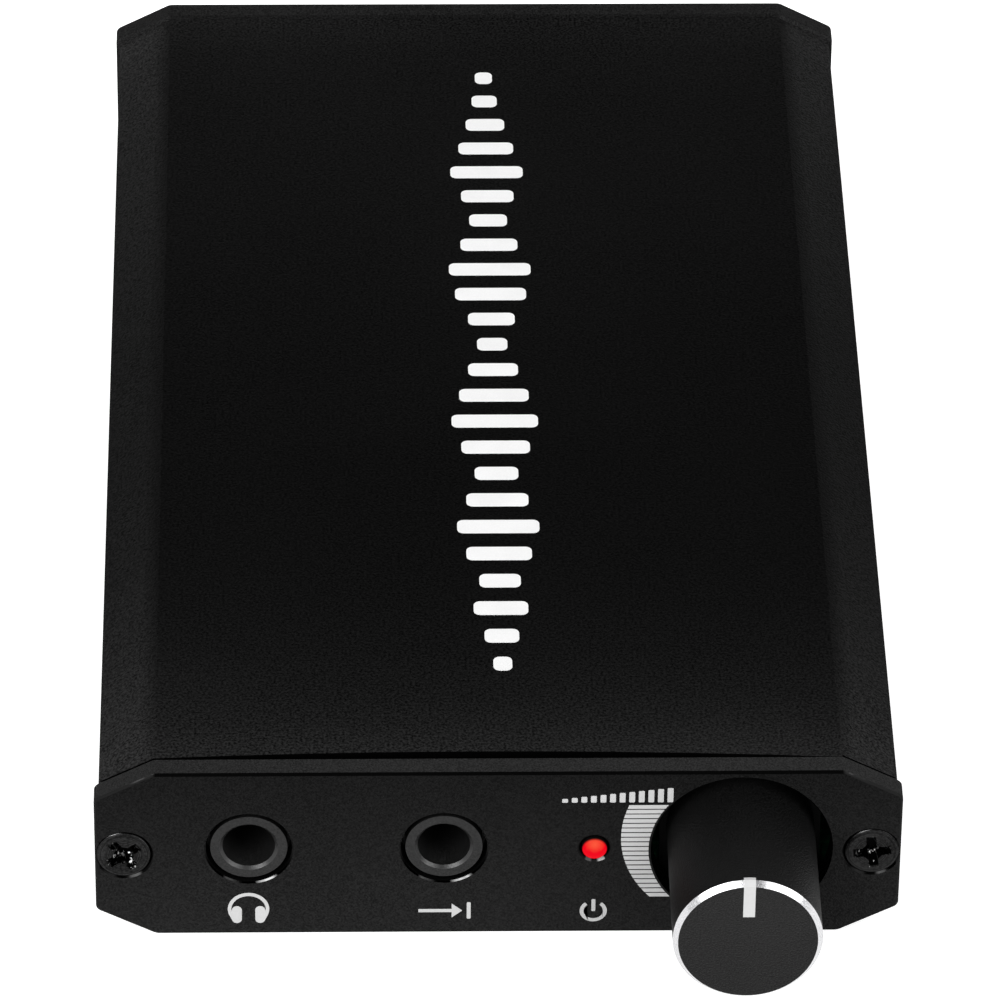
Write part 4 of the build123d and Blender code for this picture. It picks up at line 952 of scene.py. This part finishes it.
def fit_screws(end, node, outward):
    """The two screws of one end plate, as one piece, each turned as it came to rest."""
    low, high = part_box(node)
    face_y = low.y if outward < 0 else high.y
    screw = cut_screw()
    built = bmesh.new()
    for side, (turn, shift_x, shift_z) in zip((-1, 1), screw_stand[end]):
        x, z = (side * screw_x + shift_x) * MM, (low.z + high.z) / 2 + shift_z * MM
        place = Matrix.Translation((x, face_y, z)) @ Matrix.Rotation(math.radians(-90 * outward), 4, "X")
        single = screw.copy()
        single.transform(place @ Matrix.Rotation(math.radians(turn), 4, "Z") @ Matrix.Scale(MM, 4))
        built.from_mesh(single)
        bpy.data.meshes.remove(single)
    piece = add_piece("case_screws_" + end, built, screw_finish, "case", math.radians(32))
    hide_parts(node)


fit_screws("front", "front_screws", -1)
fit_screws("rear", "rear_screws", 1)

# -------------------- lamp and rear joint


def fit_lamp():
    """Power lamp: a base behind the plate, a round body and a low dome just proud of the face."""
    middle = middle_of("power_led")
    depth = (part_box("power_led")[1].y - plate_low.y) / MM
    shoulder = lamp_base - depth
    profile = [(0, -depth), (lamp_base_r, -depth), (lamp_base_r, shoulder), (lamp_r, shoulder)]
    profile += [(lamp_r * math.cos(a), lamp_proud + lamp_dome * math.sin(a)) for a in lamp_dome_turns]
    built = lathe(profile + [(0, lamp_proud + lamp_dome)], lamp_steps)
    place = Matrix.Translation((middle.x, plate_low.y, middle.z))
    built.transform(place @ Matrix.Rotation(math.radians(90), 4, "X") @ Matrix.Scale(MM, 4))
    piece = add_piece("power_lamp", built, red_lamp, "case", math.radians(40))
    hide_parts("power_led")


def close_rear_joint():
    """The case runs straight up to its rear plate: a ring in the case's section closes their joint."""
    middle = middle_of("sleeve")
    middle.y = 0
    half = (sleeve_high - sleeve_low) / 2
    run, drop = corner_run * MM, corner_drop * MM
    built = bmesh.new()
    loops = []
    corners = ((-joint_proud, -joint_length), (-joint_proud, 0), (joint_wall, 0), (joint_wall, -joint_length))
    for inset, y in corners:
        half_x, half_z = half.x - inset * MM, half.z - inset * MM
        quarter = [(half_x, half_z - drop), (half_x - run, half_z)]
        section = quarter + [(-x, z) for x, z in quarter[::-1]]
        section += [(-x, -z) for x, z in section]
        loops.append([built.verts.new(middle + Vector((x, sleeve_high.y + y * MM, z))) for x, z in section])
    for near, far in zip(loops, loops[1:] + loops[:1]):
        for i in range(len(near)):
            j = (i + 1) % len(near)
            built.faces.new((near[i], near[j], far[j], far[i]))
    add_piece("rear_joint", built, case_finish, "case")


fit_lamp()
close_rear_joint()

# -------------------- printing

knob_middle = middle_of("knob_shell") / MM
knob_opening_r = 6.23  # the knob's hole in the front plate


def on_front(x, z):
    """Point on the front face, from its middle and its foot."""
    return Vector((x * MM, plate_low.y, z * MM))


def on_top(x, y):
    """Point on the top of the case, behind the front face."""
    return Vector((x * MM, plate_low.y + y * MM, sleeve_high.z))


def scale_outlines():
    """Bars between the outer arc of the scale and the knob's opening."""
    back_x, back_z = scale_back_middle
    hole_x, hole_z, hole_r = knob_middle.x, knob_middle.z, knob_opening_r + scale_hole_gap
    bars = []
    for i in range(scale_bars):
        foot = scale_foot + i * scale_bar_pitch
        levels = [foot + scale_bar_height * k / 3 for k in range(4)]
        left = [(back_x - math.sqrt(scale_back_r**2 - (z - back_z) ** 2), z) for z in levels]
        right = [(hole_x - math.sqrt(hole_r**2 - (z - hole_z) ** 2), z) for z in levels]
        bars.append(left + right[::-1])
    return bars


def wedge_outlines():
    """Row of upright bars that grow towards the knob's loud end."""
    left, right = wedge_span
    bars = []
    for i in range(wedge_bars):
        part = i / (wedge_bars - 1)
        x = left + wedge_bar_width / 2 + part * (right - left - wedge_bar_width)
        height = wedge_rise[0] + part * (wedge_rise[1] - wedge_rise[0])
        bars.append(rounded_bar((x, wedge_foot + height / 2), wedge_bar_width, height, mark_corner))
    return bars


def phones_outlines(x):
    """Headphones: a band, and at each end of it a tall cup that the band runs into."""
    x -= phones_shift
    z = phones_height
    inner_z, inner_r = z - band_swell, phones_r - phones_stroke
    left_end, cup_end = 180 + band_end, 180 + cup_back_end
    band = arc_points((x, z), phones_r, -band_end, left_end, 44)
    band += arc_points((x, inner_z), inner_r, left_end, -band_end, 40)
    cup = arc_points((0, z), phones_r, left_end, cup_end, 4)
    cup += arc_points((-cup_x, z + cup_foot), cup_r, 215, 360, 12)
    cup += arc_points((-cup_x, z + cup_top), cup_r, 0, 170, 14)
    cup.append(arc_point((0, inner_z), inner_r, left_end))
    return [band, [(x + u, v) for u, v in cup], [(x - u, v) for u, v in cup[::-1]]]


def input_outlines(x):
    """Arrow running in against a stop."""
    start = x - (arrow_length + arrow_stop_gap) / 2
    tip = start + arrow_length
    half = sign_stroke / 2
    neck = tip - arrow_head
    flare = arrow_head * arrow_flare
    shape = [
        (start, -half), (neck, -half), (neck, -flare), (tip, 0), (neck, flare), (neck, half), (start, half),
    ]
    stop = rounded_bar((tip + arrow_stop_gap, sign_height), sign_stroke, 2 * arrow_head, mark_corner)
    return [[(u, sign_height + v) for u, v in shape], stop]


def power_outlines(x):
    """Open ring with an upright stroke in the gap."""
    ring = arc_band((x, sign_height - power_sign_drop), power_sign_r, sign_stroke, *power_sign_ends)
    middle = (x, sign_height + power_stroke_rise)
    return [ring, rounded_bar(middle, sign_stroke, power_stroke_length, mark_corner)]


def wave_outlines():
    """Bars of a sound wave, side by side along the case."""
    step = (wave_end - wave_start - wave_bar) / (len(wave_lengths) - 1)
    return [
        rounded_bar((wave_lean, wave_start + wave_bar / 2 + i * step), length, wave_bar, wave_corner)
        for i, length in enumerate(wave_lengths)
    ]


forward, upward = Vector((0, -1, 0)), Vector((0, 0, 1))
sign_nodes = ("headphone_jack_body", "line_in_jack_body", "power_led")
phones_x, line_in_x, lamp_x = (middle_of(node).x / MM for node in sign_nodes)
front_marks = {
    "volume_scale": scale_outlines(),
    "volume_wedge": wedge_outlines(),
    "headphones_sign": phones_outlines(phones_x),
    "input_sign": input_outlines(line_in_x),
    "power_sign": power_outlines(lamp_x),
}
for name, outlines in front_marks.items():
    print_ink(name, outlines, on_front, forward, ink_white)
print_ink("wave_motif", wave_outlines(), on_top, upward, top_white)

# -------------------- floor, light and camera

horizon_light = 1.1
ceiling_light = 0.3
sky_heights = (0.12, 0.5)  # the horizon's light ends, the ceiling begins
floor_reach = 6.0
floor_tones = (0.8, 0.816)
floor_glow = 0.7


def lay_floor():
    """Plain pale floor that keeps the object's shadow."""
    finish, w, shader = new_finish("floor_white", Roughness=0.9, Specular_IOR_Level=0.1)
    grain_tone = w.effect(grain, Grain_size=0.002, Drift_size=0.5, Drift=0.5)["Tone"]
    feed(w, shader, Base_Color=w.blend(grain_tone, grey(floor_tones[0]), grey(floor_tones[1])))
    rays = w.add("ShaderNodeLightPath").outputs
    seen = w.math("MAXIMUM", rays["Is Camera Ray"], rays["Is Glossy Ray"])
    seen = w.math("MAXIMUM", seen, rays["Is Transmission Ray"])
    glow = w.add("ShaderNodeEmission", {"Color": grey(1.0), "Strength": w.math("MULTIPLY", seen, floor_glow)})
    both = w.add("ShaderNodeAddShader", {0: shader.outputs[0], 1: glow.outputs[0]})
    output = finish.node_tree.nodes["Material Output"]
    finish.node_tree.links.new(both.outputs[0], output.inputs["Surface"])
    built = bmesh.new()
    bmesh.ops.create_grid(built, x_segments=4, y_segments=4, size=floor_reach)
    made = tidy_mesh("floor", built)
    made.materials.append(finish)
    floor = bpy.data.objects.new("floor", made)
    floor.location = (0, 0, cad_box[0].z)
    bpy.context.scene.collection.objects.link(floor)


def light_world():
    """White round the horizon, dimming to a soft ceiling."""
    world = bpy.data.worlds.new("studio")
    bpy.context.scene.world = world
    world.use_nodes = True
    w = Shader(world.node_tree)
    facing = w.add("ShaderNodeTexCoord").outputs["Generated"]
    height = w.add("ShaderNodeSeparateXYZ", {0: facing}).outputs["Z"]
    level = w.spread(height, *sky_heights, horizon_light, ceiling_light)
    background = world.node_tree.nodes["Background"]
    world.node_tree.links.new(level, background.inputs["Strength"])
    background.inputs["Color"].default_value = grey(1.0)


def softbox(name, direction, distance, size, radiance):
    """Square soft lamp that looks at the object from a direction."""
    lamp = bpy.data.lights.new(name, "AREA")
    lamp.shape, lamp.size = "SQUARE", size
    lamp.energy = radiance * math.pi * size * size
    holder = bpy.data.objects.new(name, lamp)
    way = Vector(direction).normalized()
    holder.location = way * distance
    holder.rotation_mode = "QUATERNION"
    holder.rotation_quaternion = way.to_track_quat("Z", "Y")
    holder.visible_camera = False
    bpy.context.scene.collection.objects.link(holder)


camera_tilt, camera_swing, camera_roll = 36.61879, 1.58250, 0.72221  # degrees
camera_lens = 301.340
camera_aim = (0.0, 27.5, 5.5)  # from the foot of the front face
camera_shift = (-0.578, 593.890, -8.915)  # of the aim, in the camera's own axes


def set_camera():
    """Long lens that looks down on the front and the top."""
    tilt = Matrix.Rotation(math.radians(camera_tilt), 3, "X")
    swing = Matrix.Rotation(math.radians(camera_swing), 3, "Z")
    back = (tilt @ swing).transposed()
    aim = Vector(camera_aim) * MM + Vector((0, plate_low.y, plate_low.z))
    right, ahead, up = back @ Vector((1, 0, 0)), back @ Vector((0, 1, 0)), back @ Vector((0, 0, 1))
    roll = math.radians(camera_roll)
    side = right * math.cos(roll) + up * math.sin(roll)
    rise = up * math.cos(roll) - right * math.sin(roll)
    data = bpy.data.cameras.new("camera")
    data.lens, data.sensor_width = camera_lens, 36.0
    data.clip_start, data.clip_end = 0.01, 50.0
    camera = bpy.data.objects.new("camera", data)
    axes = Matrix((side, rise, -ahead)).transposed().to_4x4()
    camera.matrix_world = Matrix.Translation(aim - back @ (Vector(camera_shift) * MM)) @ axes
    bpy.context.scene.collection.objects.link(camera)
    bpy.context.scene.camera = camera


lay_floor()
light_world()
softbox("left_softbox", (-0.50, -0.64, 0.58), distance=1.3, size=0.8, radiance=6.4)
softbox("right_softbox", (0.70, -0.46, 0.54), distance=1.3, size=0.9, radiance=4.0)
set_camera()
bpy.context.scene.view_settings.view_transform = "Standard"
